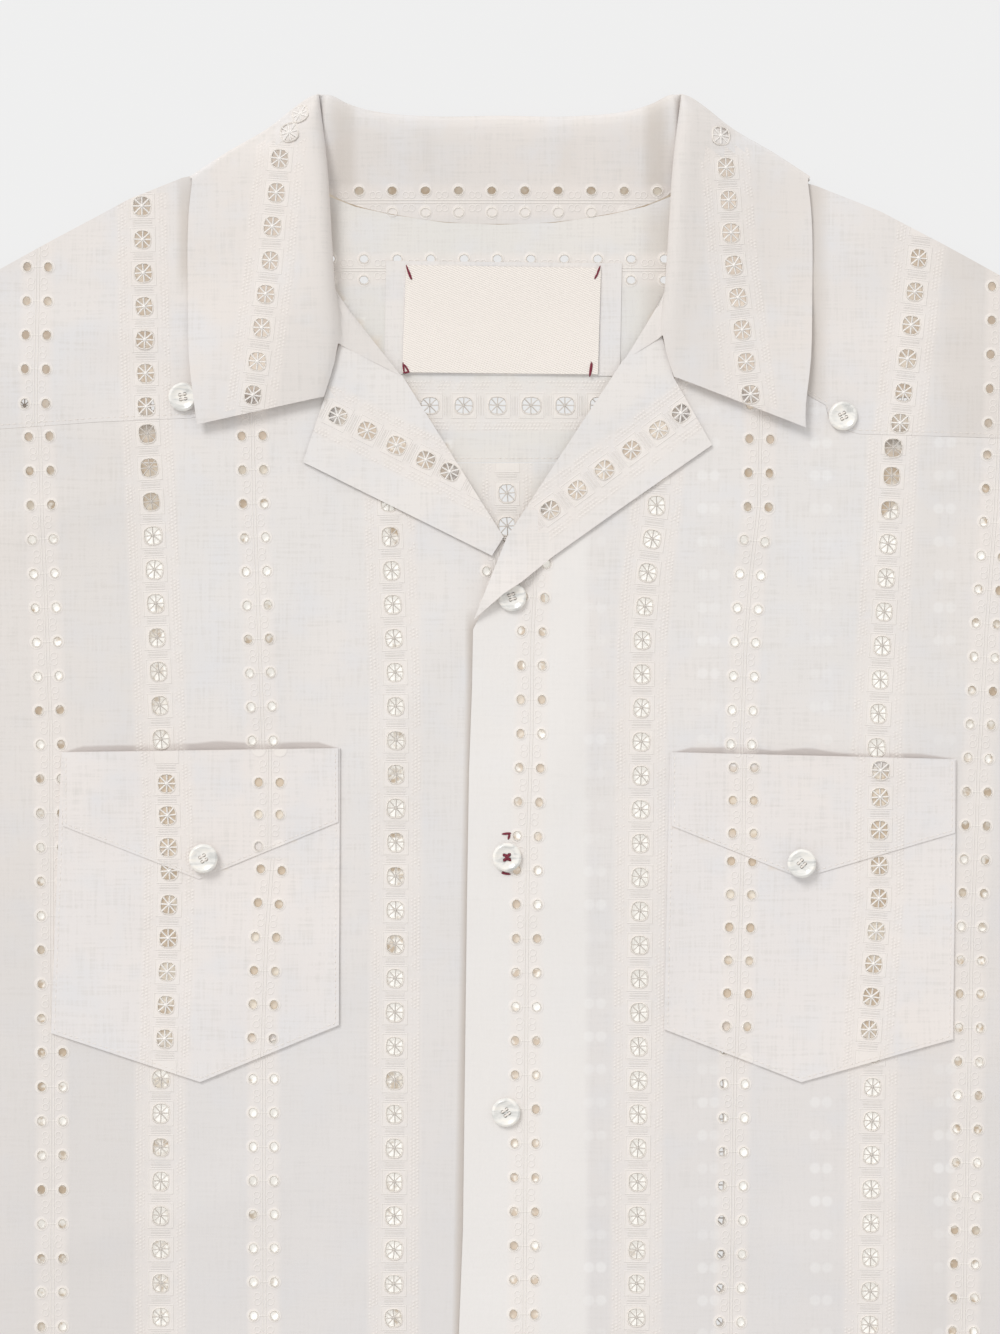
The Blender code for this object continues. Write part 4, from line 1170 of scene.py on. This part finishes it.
def markCovered(mesh, thickness, covers):
    # on the upper side only: whether a layer lies on this point, how much light is painted as coming up
    # there, and how much the painted shade there is lifted; these drive the painted light, shade and glow
    # seen through eyelets. A cover is an outline, its place and its uncovered margin
    values = {"covered": [], "lit": [], "lifted": []}
    for vert in mesh.vertices:
        found = (0.0, 0.5, 0.0)
        if vert.co.z > 0.5 * thickness * mm:
            for outline, place, margin in covers:
                if clearOf(outline, vert.co.x * 1000.0, vert.co.y * 1000.0, margin):
                    found = (1.0, backLight[place], shadeLift.get(place, 0.0))
        for row, value in zip(values.values(), found):
            row.append(value)
    for name, row in values.items():
        mesh.attributes.new(name, "FLOAT", "POINT").data.foreach_set("value", row)


def sewPanel(name, node, outline, height, look, stripes=(), restsOn=(), thickness=cloth["thickness"],
             cell=cloth["cell"], sink=cloth["sink"], stitchLines=(), seed=1, covers=(), keepCovered=False,
             slotName="eyelet_cotton", web="webPale"):
    mesh = meshFrom(cutClothShape(outline, cell, thickness), name)
    piece = finishPiece(name, mesh, look, [node] if node else ())
    spotsByKind = {}
    for row in stripes:
        room = eyeletSizes[row["kind"]]["margin"]
        for wanted in eyeletSpots(row):
            spot = fittedSpot(outline, wanted, row["kind"])
            if spot is None:
                continue
            hidden = any(clearOf(cover[0], spot[0], spot[1], room + 1.0) for cover in covers)
            if keepCovered or not hidden:
                spotsByKind.setdefault(row["kind"], []).append(spot)
    if spotsByKind:
        cutEyelets(piece, spotsByKind, -1.0, thickness + 1.0)
    if covers:
        markCovered(piece.data, thickness, covers)
    bent = bmesh.new()
    bent.from_mesh(piece.data)
    bmesh.ops.triangulate(bent, faces=[face for face in bent.faces if len(face.verts) > 4])
    for vert in bent.verts:
        vert.co.z += (height(vert.co.x * 1000.0, vert.co.y * 1000.0) + sink) * mm
    bent.to_mesh(piece.data)
    bent.free()
    mapStripes(piece.data, stripes)
    piece.data.shade_smooth()
    piece.data.set_sharp_from_angle(angle=cloth["sharpFrom"])
    piece.data.materials.clear()
    piece.data.materials.append(look)
    surface = panelSurface(height, thickness, sink)
    if spotsByKind:
        embroider(name + "Embroidery", spotsByKind, surface, seed, web)
    places = [place for line in stitchLines for place in stitchPath(line, surface)]
    if places:
        sewThread(name + "Stitches", stitchMesh, places)
    flatArea(outline)
    print(name, "sewn with", sum(len(spots) for spots in spotsByKind.values()), "eyelets")


def leafOutline(side):
    return mirrored([(72, 354), (96, 341), (124, 323), (124.6, 276), (121.6, 225), (70.4, 241),
                     (66.4, 281), (69.2, 328)], side)


# back

# painted light under covering layers: how much light is painted as coming up through eyelets at each place,
# and how much the painted shade is lifted
backLight = {"left": 0.64, "right": 0.8, "seam": 0.3, "edge": 0.5, "yoke": 0.05, "collar": 0.1, "lapel": 0.2,
             "pocket": 0.0, "placket": 0.42}
shadeLift = {"collar": 1.0, "lapel": 0.55, "placket": 0.4, "yoke": 0.35}
dimBands = {  # less light is painted as coming up towards the side seams and at the yoke's seam
    "edge": [(174, -350), (210, -350), (210, 180), (174, 180)],
    "seam": [(92, 186), (240, 186), (240, 214), (92, 214)],
}
hemStitchY = hemY + 18
sewPanel("backPanel", "back_panel", backPanelOutline(), restHeight, materials["back"], backStripes,
         cell=9.0, stitchLines=[[(-288, hemStitchY), (288, hemStitchY)]], seed=11, keepCovered=True,
         web="web",
         covers=[(frontOutline(side), side, 7.0) for side in sides]
         + [(mirrored(band, side), place, 0.0) for place, band in dimBands.items() for side in sides])
sewPanel("backYoke", "back_yoke", backYokeOutline(), backHeight, materials["back"], backYokeStripes,
         restsOn=["backPanel"], stitchLines=[[(-239, 211.6), (239, 211.6)]], seed=12,
         keepCovered=True, web="web",
         covers=[(outline(side), "yoke", 1.5) for side in sides
                 for outline in (frontYokeOutline, frontOutline)])

labelCorners = [(-37.6, 288.8), (40.4, 287.6), (39.2, 245.2), (-39.2, 246.0)]
labelBacking = [(-45.6, 290.6), (48.8, 289.6), (48.0, 244.6), (-46.4, 245.4)]
labelCloth = {"thickness": 0.5, "cell": 5.0}
backing = {"rise": 0.72, "thickness": 0.3}


def labelHeight(x, y):
    wave = 0.16 * math.sin(0.09 * x + 1.1) * math.sin(0.07 * y)
    return backHeight(x, y) + cloth["step"] + wave


def backingHeight(x, y):
    return backHeight(x, y) + backing["rise"]


sewPanel("labelBacking", None, labelBacking, backingHeight, materials["lapel"], restsOn=["backYoke"],
         thickness=backing["thickness"])
sewPanel("neckLabel", "neck_label", labelCorners, labelHeight, materials["label"],
         restsOn=["labelBacking"], slotName="label_twill", **labelCloth)
labelTacks = [
    (-36.6, 286.0, 6.4, -72), (-36.2, 285.4, 5.6, -68),
    (39.4, 286.6, 4.4, 70), (38.6, 284.6, 3.4, 60),
    (-38.6, 247.8, 4.6, 97), (-37.3, 247.5, 4.2, -58), (-37.6, 245.9, 2.8, 8),
    (36.2, 247.2, 6.4, 83), (36.5, 247.0, 5.8, 80),
]
sewTacks("labelTacks", labelTacks, panelSurface(labelHeight, labelCloth["thickness"]))
print("back, yoke and label done")

# fronts, yokes, sleeves, lapels and pockets

pocketCloth = {"cell": 5.5, "thickness": 1.0, "sink": -0.38}
facingCloth = {"cell": 5.5, "thickness": 0.4, "sink": -0.6}
pocketGape = {"rise": 1.6, "depth": 40.0}


def pocketHeight(side):
    outer, inner = pocketCorners[side][:2]
    middle = 0.5 * (outer[0] + inner[0])
    half = 0.5 * abs(outer[0] - inner[0])
    top = 0.5 * (outer[1] + inner[1])

    def height(x, y):
        across = max(0.0, 1.0 - ((x - middle) / half) ** 2)
        gape = pocketGape["rise"] * across * ramp(y, top - pocketGape["depth"], top)
        return frontHeights[side](x, y) + cloth["step"] + gape
    return height


def facingHeight(side):
    under = pocketHeight(side)
    return lambda x, y: under(x, y) + cloth["step"]


def lapelHeight(side):
    def height(x, y):
        rise = 0.0
        if side == "right":
            reach = math.dist((x, y), layers["firstButton"]) / layers["buttonReach"]
            rise = layers["buttonRise"] * math.exp(-reach * reach)
        return frontHeights[side](x, y) + cloth["step"] + rise
    return height


def insetLine(points, distance):
    # a line inside an outline that runs anticlockwise, without the side that an open top leaves
    moved = []
    for start, end in zip(points, [*points[1:], points[0]]):
        length = math.dist(start, end)
        normal = (-(end[1] - start[1]) / length * distance, (end[0] - start[0]) / length * distance)
        share = min(0.4, abs(distance) / length)
        for part in (share, 1.0 - share):
            moved.append(tuple(a + b for a, b in zip(mix(start, end, part), normal)))
    return [*moved, moved[0]][2:]


for side in sides:
    cap = side.capitalize()
    sign = signs[side]
    over = side == "right"
    facing = facingOutline(side)
    pocket = pocketCorners[side]
    lapel = lapelOutline(side)
    covers = [(pocket, "pocket", 7.0), (lapel, "lapel", 7.0), (leafOutline(side), "collar", 7.0)]
    if not over:
        covers.append((frontOutline("right"), "placket", 8.0))
    sewPanel("front" + cap, "front_" + side, frontOutline(side), frontHeights[side],
             materials["overFront" if over else "underFront"], frontStripes[side], seed=20, web="web",
             restsOn=["backPanel", "frontLeft"] if over else ["backPanel"], covers=covers,
             stitchLines=[[(sign * 40, hemStitchY), (sign * 288, hemStitchY)]])
    sewPanel("frontYoke" + cap, "front_yoke_" + side, frontYokeOutline(side), frontHeight,
             materials["yoke"], yokeStripes[side], restsOn=["backYoke"], seed=30,
             stitchLines=[[(x, y + 1.6) for x, y in yokeSeam[side]]],
             covers=[(leafOutline(side), "collar", 5.0)])
    for layer, height, under, seed in (("Under", restHeight, [], 40),
                                       ("Upper", frontHeight, ["sleeve" + cap + "Under"], 50)):
        sewPanel("sleeve" + cap + layer, "sleeve_%s_%s" % (side, layer.lower()), sleeveOutline(side), height,
                 materials["body"], sleeveStripes[side], restsOn=under, seed=seed,
                 stitchLines=[[(sign * 430, 127), (sign * 322, -27)]])
    sewPanel("lapel" + cap, "lapel_" + side, lapel, lapelHeight(side), materials["lapel"],
             lapelStripes[side], restsOn=["front" + cap], seed=60, cell=cloth["fineCell"])
    sewPanel("pocket" + cap, "pocket_" + side, pocket, pocketHeight(side), materials["pocket"],
             pocketStripes[side], restsOn=["front" + cap], seed=70, covers=[(facing, "pocket", 4.0)],
             stitchLines=[insetLine(pocket, sign * 1.4)], **pocketCloth)
    sewPanel("pocketFacing" + cap, "pocket_facing_" + side, facing, facingHeight(side),
             materials["pocket"], facingStripes[side], restsOn=["pocket" + cap], seed=80,
             stitchLines=[insetLine(facing, sign * 1.2)], **facingCloth)
print("fronts done")

# collar: lofted from the left notch round the neck to the right notch

collar = {
    "backRows": [  # seam, roll edge, leaf edge, roll height, which way it turns
        ((0, 305.4), (0, 348), (0, 303), 4.7, -1.0), ((22, 306.2), (24, 347.6), (28, 303.2), 4.7, -1.0),
        ((43.6, 309.4), (46, 349), (60, 304.4), 4.8, -1.0), ((57, 312.6), (59, 352), (88, 306.5), 5.0, -1.0),
        ((66, 316.2), (66, 355.4), (108, 312), 5.4, -1.0),
    ],
    "sideRows": [
        ((75, 331), (71.6, 348), (124.2, 311), 8.6, 1.0), ((74.2, 316), (69.2, 328), (124.8, 297), 9.2, 1.0),
        ((72.6, 300), (67.8, 305), (124.8, 276), 8.8, 1.0),
        ((68.4, 282), (66.4, 281), (124.2, 252), 7.4, 1.0),
    ],
    "wrapSeam": ((69.6, 319), (75.2, 326)), "wrapEdge": ((68.4, 356.2), (72.4, 355.6)),
    "wrapEdgeZ": (5.6, 8.0), "wrapAngles": (-90, -45, 0, 45, 90), "wrapRadius": 2.3,
    "wrapMiddleZ": (5.8, 2.75),
    "ridge": [(72, 356.6), (79, 354.0), (86.5, 347.4), (96, 341.0), (109, 333.8), (124, 324.0)],
    "standShares": (0.0, 0.42, 0.88), "leafShares": (0.06, 0.2, 0.42, 0.7, 1.0),
    "rollHalf": 2.9, "gorgeZ": 6.0, "notchZ": 4.9, "pointSpring": 3.4, "springY": (276, 233),
    "thickness": 0.6, "rounding": 3,
    "fallPowers": (1.5, 5.0), "steepest": 0.5, "cuts": {"broad": (4.3, 25.0), "narrow": (1.5, 9.0)},
    "standHalf": 64.0, "standTop": 4.5, "standRow": 314.2, "lowest": 2.0,
    "hiddenZ": (0.65, 1.2), "hiddenHalf": 0.074, "hiddenTop": 0.345,
    "rollEyelets": [(-83.8, 340.8, 1.75), (-79.6, 348.2, 1.8), (88.0, 339.6, 1.5)],
    "flat": (0.51, 0.118), "largestArea": 0.06,
}


def alongLine(points, share):
    lengths = [math.dist(a, b) for a, b in zip(points, points[1:])]
    left = share * sum(lengths)
    for (start, end), length in zip(zip(points, points[1:]), lengths):
        if left <= length:
            return mix(start, end, left / length)
        left -= length
    return points[-1]


def plainFrontHeight(x, y):
    return backHeight(x, y) + cloth["step"] + ridgeSum(x, y, mainFolds) + ridgeSum(x, y, smallCreases)


def leafEdgeZ(x, y):
    spring = collar["pointSpring"] * ramp(-y, -collar["springY"][0], -collar["springY"][1])
    return plainFrontHeight(x, y) + cloth["step"] + 0.5 * cloth["wall"] + spring


def collarPath(row, outerZ, seamZ):
    seam, edge, outer, edgeZ, turn = row
    below = edgeZ - collar["rollHalf"] * turn
    above = edgeZ + collar["rollHalf"] * turn
    path = []
    for share in collar["standShares"]:
        rise = min(1.0, share / collar["standShares"][-1])
        path.append((*mix(seam, edge, share), seamZ + (below - seamZ) * rise))
    path.append((*edge, edgeZ))
    fall = collar["fallPowers"][0 if turn > 0.0 else 1]
    for share in collar["leafShares"]:
        drop = (1.0 - ramp(share, collar["leafShares"][0], 1.0)) ** fall
        path.append((*mix(edge, outer, share), outerZ + (above - outerZ) * drop))
    return path


def wrapPaths():
    ridge = smoothCurve(collar["ridge"], 2)
    paths = []
    lowZ, highZ = collar["wrapEdgeZ"]
    topZ, endZ = collar["wrapMiddleZ"]
    for index, angle in enumerate(collar["wrapAngles"]):
        share = index / (len(collar["wrapAngles"]) - 1)
        turn = math.radians(angle)
        seam = mix(*collar["wrapSeam"], share)
        row = (seam, mix(*collar["wrapEdge"], share), collar["ridge"][-1], lowZ + (highZ - lowZ) * share,
               math.sin(turn))
        path = collarPath(row, endZ, backHeight(*seam) + 0.5 * cloth["wall"] + cloth["step"] * share)
        leafStart = len(collar["standShares"]) + 1
        for place, leafShare in enumerate(collar["leafShares"]):
            x, y = alongLine(ridge, leafShare)
            inset = collar["wrapRadius"] * (1.0 - math.cos(turn))
            lean = (1.0 - leafShare) ** 3
            path[leafStart + place] = (x - 0.45 * inset, y - 0.9 * inset, endZ + (topZ - endZ) * lean
                                       + collar["wrapRadius"] * math.sin(turn) * (1.0 + 0.6 * lean))
        paths.append(path)
    return paths


def halfCollar(side):
    paths = [collarPath(row, 0.5 * cloth["wall"], backHeight(*row[0]) + 0.5 * cloth["wall"])
             for row in collar["backRows"]]
    paths += wrapPaths()
    for row in collar["sideRows"]:
        seamZ = plainFrontHeight(*row[0]) + 0.5 * cloth["wall"]
        paths.append(collarPath(row, leafEdgeZ(*row[2]) + 0.3, seamZ))
    gorge = (abs(rollLine[side][0][0]), rollLine[side][0][1])
    fold = (abs(foldAtGorge[side][0]), foldAtGorge[side][1])
    notchPoint = (abs(notch[side][0]), notch[side][1])
    tip = (abs(collarPoint[side][0]), collarPoint[side][1])
    for row in ((gorge, fold, (122, 233), collar["gorgeZ"], 0.6),
                (gorge, notchPoint, tip, collar["notchZ"], 0.3)):
        seamZ = plainFrontHeight(*row[0]) + cloth["step"] + 0.5 * cloth["wall"] + 0.3
        paths.append(collarPath(row, leafEdgeZ(*row[2]), seamZ))
    return [[(signs[side] * x, y, z) for x, y, z in path] for path in paths]


def buildCollar():
    paths = [*reversed(halfCollar("left")), *halfCollar("right")[1:]]
    standRows = len(collar["standShares"])
    steps = collar["rounding"]
    across = [smoothCurve(path, steps) for path in paths]
    columns = [smoothCurve(list(line), steps) for line in zip(*across)]
    shape = bmesh.new()
    grid = [[shape.verts.new(Vector(point) * mm) for point in column] for column in columns]
    lastRow = (len(paths) - 2) * steps
    for row, (first, second) in enumerate(zip(grid, grid[1:])):
        for index in range(len(first) - 1):
            if (index < steps or index >= lastRow) and row < standRows * steps:
                continue
            shape.faces.new((first[index], second[index], second[index + 1], first[index + 1]))
    bmesh.ops.delete(shape, geom=[vert for vert in shape.verts if not vert.link_faces], context="VERTS")
    bmesh.ops.recalc_face_normals(shape, faces=shape.faces[:])
    flat = sum(face.calc_area() for face in shape.faces)
    mesh = meshFrom(shape, "collar")
    piece = finishPiece("shirtCollar", mesh, materials["collar"], ["collar"])
    thicken = piece.modifiers.new("cloth", "SOLIDIFY")
    thicken.thickness = collar["thickness"] * mm
    thicken.offset = 0.0
    piece.data = bakeModifiers(piece)
    return piece, flat


collarPiece, collarArea = buildCollar()
tree = BVHTree.FromObject(collarPiece, bpy.context.evaluated_depsgraph_get())


def collarSurface(x, y):
    place, normal, index, distance = tree.ray_cast(Vector((x * mm, y * mm, 0.05)), Vector((0, 0, -1)))
    if place is None:
        return None
    return place.z * 1000.0, normal


collarSpots = {"broad": [], "narrow": []}
for row in collarStripes:
    for x, y, angle in eyeletSpots(row):
        found = collarSurface(x, y)
        if found is None or found[1].z < collar["steepest"]:
            continue
        if row["kind"] == "narrow" and (abs(x) > collar["standHalf"] or found[0] < collar["lowest"]):
            continue
        collarSpots[row["kind"]].append((x, y, angle))
cutEyelets(collarPiece, {"broad": collarSpots["broad"]}, *collar["cuts"]["broad"])
upperRow = [spot for spot in collarSpots["narrow"] if spot[1] > collar["standRow"]]
cutEyelets(collarPiece, {"narrow": upperRow}, *collar["cuts"]["narrow"])
collarMesh = collarPiece.data
collarMesh.shade_smooth()
collarMesh.set_sharp_from_angle(angle=cloth["sharpFrom"])
mapStripes(collarMesh, collarStripes)
slimMap = collarMesh.uv_layers["narrow"].data
for polygon in collarMesh.polygons:  # the stand's stripe stays off the leaf
    if abs(polygon.center.x) > collar["standHalf"] * mm and polygon.center.z > collar["standTop"] * mm:
        for corner in polygon.loop_indices:
            slimMap[corner].uv = (offMap, offMap)
collarMesh.materials.clear()
collarMesh.materials.append(materials["collar"])
# collar faces lying lowest near the back neck are marked covered, so they get the painted shade seen through
# eyelets
low, high = collar["hiddenZ"]
underStand = [float(low < vert.co.z * 1000.0 < high and abs(vert.co.x) < collar["hiddenHalf"]
                    and vert.co.y < collar["hiddenTop"]) for vert in collarMesh.vertices]
collarMesh.attributes.new("covered", "FLOAT", "POINT").data.foreach_set("value", underStand)
collarSpots["broad"] += collar["rollEyelets"]
collarTrim = embroider("collarEmbroidery", collarSpots, collarSurface, 90)
print("collar done, flat area", round(collarArea, 4))

# buttons

button = {
    "profile": [(0.0, 1.45), (2.3, 1.4), (3.5, 1.6), (4.2, 2.05), (4.8, 2.25), (5.35, 2.0), (5.75, 1.35),
                (5.6, 0.8), (4.9, 0.2), (3.8, 0.0), (0.0, 0.0)],
    "around": 40, "holeRadius": 0.72, "holeOffset": 1.35, "lift": 0.95, "sharpFrom": 0.7,
    "bar": (0.6, 0.36, 0.32), "barTop": 1.62, "drift": 0.22, "driftTurn": 6,
    "cross": (2.3, 0.52, 0.42), "crossTop": 1.8, "stem": (0.6, 0.6, 0.95), "stemMiddle": 0.75,
}


def buildButtonMesh():
    shape = bmesh.new()
    verts = [shape.verts.new((radius * mm, 0.0, height * mm)) for radius, height in button["profile"]]
    edges = [shape.edges.new(pair) for pair in zip(verts, verts[1:])]
    bmesh.ops.spin(shape, geom=verts + edges, cent=(0, 0, 0), axis=(0, 0, 1), dvec=(0, 0, 0),
                   angle=2 * math.pi, steps=button["around"], use_merge=True, use_duplicate=False)
    bmesh.ops.remove_doubles(shape, verts=shape.verts, dist=1e-6)
    bmesh.ops.recalc_face_normals(shape, faces=shape.faces[:])
    blank = bpy.data.objects.new("buttonBlank", meshFrom(shape, "buttonBlank"))
    bpy.context.scene.collection.objects.link(blank)
    plugs = bmesh.new()
    for index in range(4):
        turn = math.pi * (0.5 * index + 0.25)
        place = moved(button["holeOffset"] * math.cos(turn), button["holeOffset"] * math.sin(turn), 0.0)
        bmesh.ops.create_cone(plugs, cap_ends=True, segments=14, radius1=button["holeRadius"] * mm,
                              radius2=button["holeRadius"] * mm, depth=10 * mm, matrix=place)
    made = cutAway(blank, meshFrom(plugs, "buttonHoles"))
    bpy.data.objects.remove(blank)
    return made


buttonMesh = buildButtonMesh()


def placeButton(name, node, spot, under, crossed=False):
    x, y, turn = spot
    place = moved(x, y, under + button["lift"]) @ turned(math.radians(turn))
    mesh = buttonMesh.copy()
    mesh.transform(place)
    mesh.shade_smooth()
    mesh.set_sharp_from_angle(angle=button["sharpFrom"])
    finishPiece(name, mesh, materials["pearl"], [node])
    # the sewing: two bars of thread over the holes and down through them
    offset = button["holeOffset"] * math.sin(math.pi / 4)
    length, width, height = button["bar"]
    bars = [moved(drift, across, button["barTop"]) @ turned(math.radians(button["driftTurn"] * drift))
            @ sized(offset + length, width, height)
            for across in (-offset, offset) for drift in (-button["drift"], button["drift"])]
    if crossed:
        cross = [turned(math.radians(angle)) @ moved(0, 0, button["crossTop"]) @ sized(*button["cross"])
                 for angle in (45, 135)]
        bars = [*cross, bars[0], bars[2]]
    stems = [moved(sx * offset, sy * offset, button["stemMiddle"]) @ sized(*button["stem"])
             for sx in (-1, 1) for sy in (-1, 1)]
    sewThread(name + "Thread", tackMesh, [place @ part for part in bars + stems],
              "crimson" if crossed else "thread")


frontButtons = [(4.8, 156.0, 18), (2.8, 52.0, 4), (2.4, -50.0, 35), (2.4, -153.2, 12), (2.4, -256.4, 50)]
for number, spot in enumerate(frontButtons, 1):
    placeButton("frontButton%d" % number, "front_button_%d" % number, spot, overFrontHeight(*spot[:2]),
                crossed=number == 2)
pocketButtons = {"left": (-118.4, 51.6, 30), "right": (120.4, 49.6, 44)}
yokeButtons = {"left": (-126.8, 236.0, 10), "right": (137.2, 228.4, 26)}
for side in sides:
    cap = side.capitalize()
    x, y = pocketButtons[side][:2]
    under = facingHeight(side) if insideOutline(facingOutline(side), x, y) else pocketHeight(side)
    placeButton("pocketButton" + cap, "pocket_button_" + side, pocketButtons[side], under(x, y))
    placeButton("yokeButton" + cap, "yoke_button_" + side, yokeButtons[side],
                frontHeight(*yokeButtons[side][:2]))
buttonholeTacks = [(2.6, 61.4, 4.0, 6), (3.6, 60.2, 2.6, 74), (2.4, 45.4, 4.0, -8), (1.4, 46.2, 2.2, 80)]
sewTacks("buttonholeTacks", buttonholeTacks, panelSurface(overFrontHeight, cloth["thickness"]), 0.5)
print("buttons done")

# floor, light and camera

studio = {
    "floorColour": (0.15, 0.15, 0.15, 1.0), "floorGlow": (0.708, 0.708, 0.708, 1.0), "floorSize": 30.0,
    "floorZ": -0.0004, "cloudScale": 1.5, "cloudShare": 0.02, "cloud": (0.10, 0.10, 0.10, 1.0),
    "worldColour": (1.0, 0.995, 0.985, 1.0), "worldStrength": 0.757,
    "keyPlace": (-0.9, 1.5, 1.5), "keyTarget": (0.0, 0.1, 0.0), "keySpread": 0.4, "keyPower": 1.28,
    "cameraPlace": (0.0, 0.128, 1.263), "lens": 85.0, "sensor": 36.0,
}


def buildFloor():
    shape = bmesh.new()
    bmesh.ops.create_grid(shape, x_segments=1, y_segments=1, size=studio["floorSize"])
    mesh = meshFrom(shape, "stageFloor")
    floor = bpy.data.objects.new("stageFloor", mesh)
    bpy.context.scene.collection.objects.link(floor)
    for vert in mesh.vertices:
        vert.co.z = studio["floorZ"]
    made, wire, shader, place = newMaterial("paleFloor")
    clouds = wire.noise(place, studio["cloudScale"])
    wire.feed(wire.fade(studio["floorColour"], clouds, studio["cloudShare"], studio["cloud"]),
              shader.inputs["Base Color"])
    setConstants(shader, {"Emission Color": studio["floorGlow"], "Emission Strength": 1.0,
                          "Roughness": 0.9, "Specular IOR Level": 0.1})
    mesh.materials.append(made)


def aimAt(thing, target):
    away = Vector(target) - thing.location
    thing.rotation_euler = away.to_track_quat("-Z", "Y").to_euler()


buildFloor()
world = bpy.data.worlds.new("studioWorld")
world.use_nodes = True
setConstants(world.node_tree.nodes["Background"],
             {"Color": studio["worldColour"], "Strength": studio["worldStrength"]})
bpy.context.scene.world = world
keyLight = bpy.data.lights.new("softKey", "SUN")
keyLight.angle = studio["keySpread"]
keyLight.energy = studio["keyPower"]
keyObject = bpy.data.objects.new("softKey", keyLight)
keyObject.location = studio["keyPlace"]
aimAt(keyObject, studio["keyTarget"])
bpy.context.scene.collection.objects.link(keyObject)
cameraData = bpy.data.cameras.new("photoCamera")
cameraData.lens = studio["lens"]
cameraData.sensor_width = studio["sensor"]
camera = bpy.data.objects.new("photoCamera", cameraData)
camera.location = studio["cameraPlace"]
bpy.context.scene.collection.objects.link(camera)
bpy.context.scene.camera = camera
bpy.context.scene.view_settings.view_transform = "Standard"
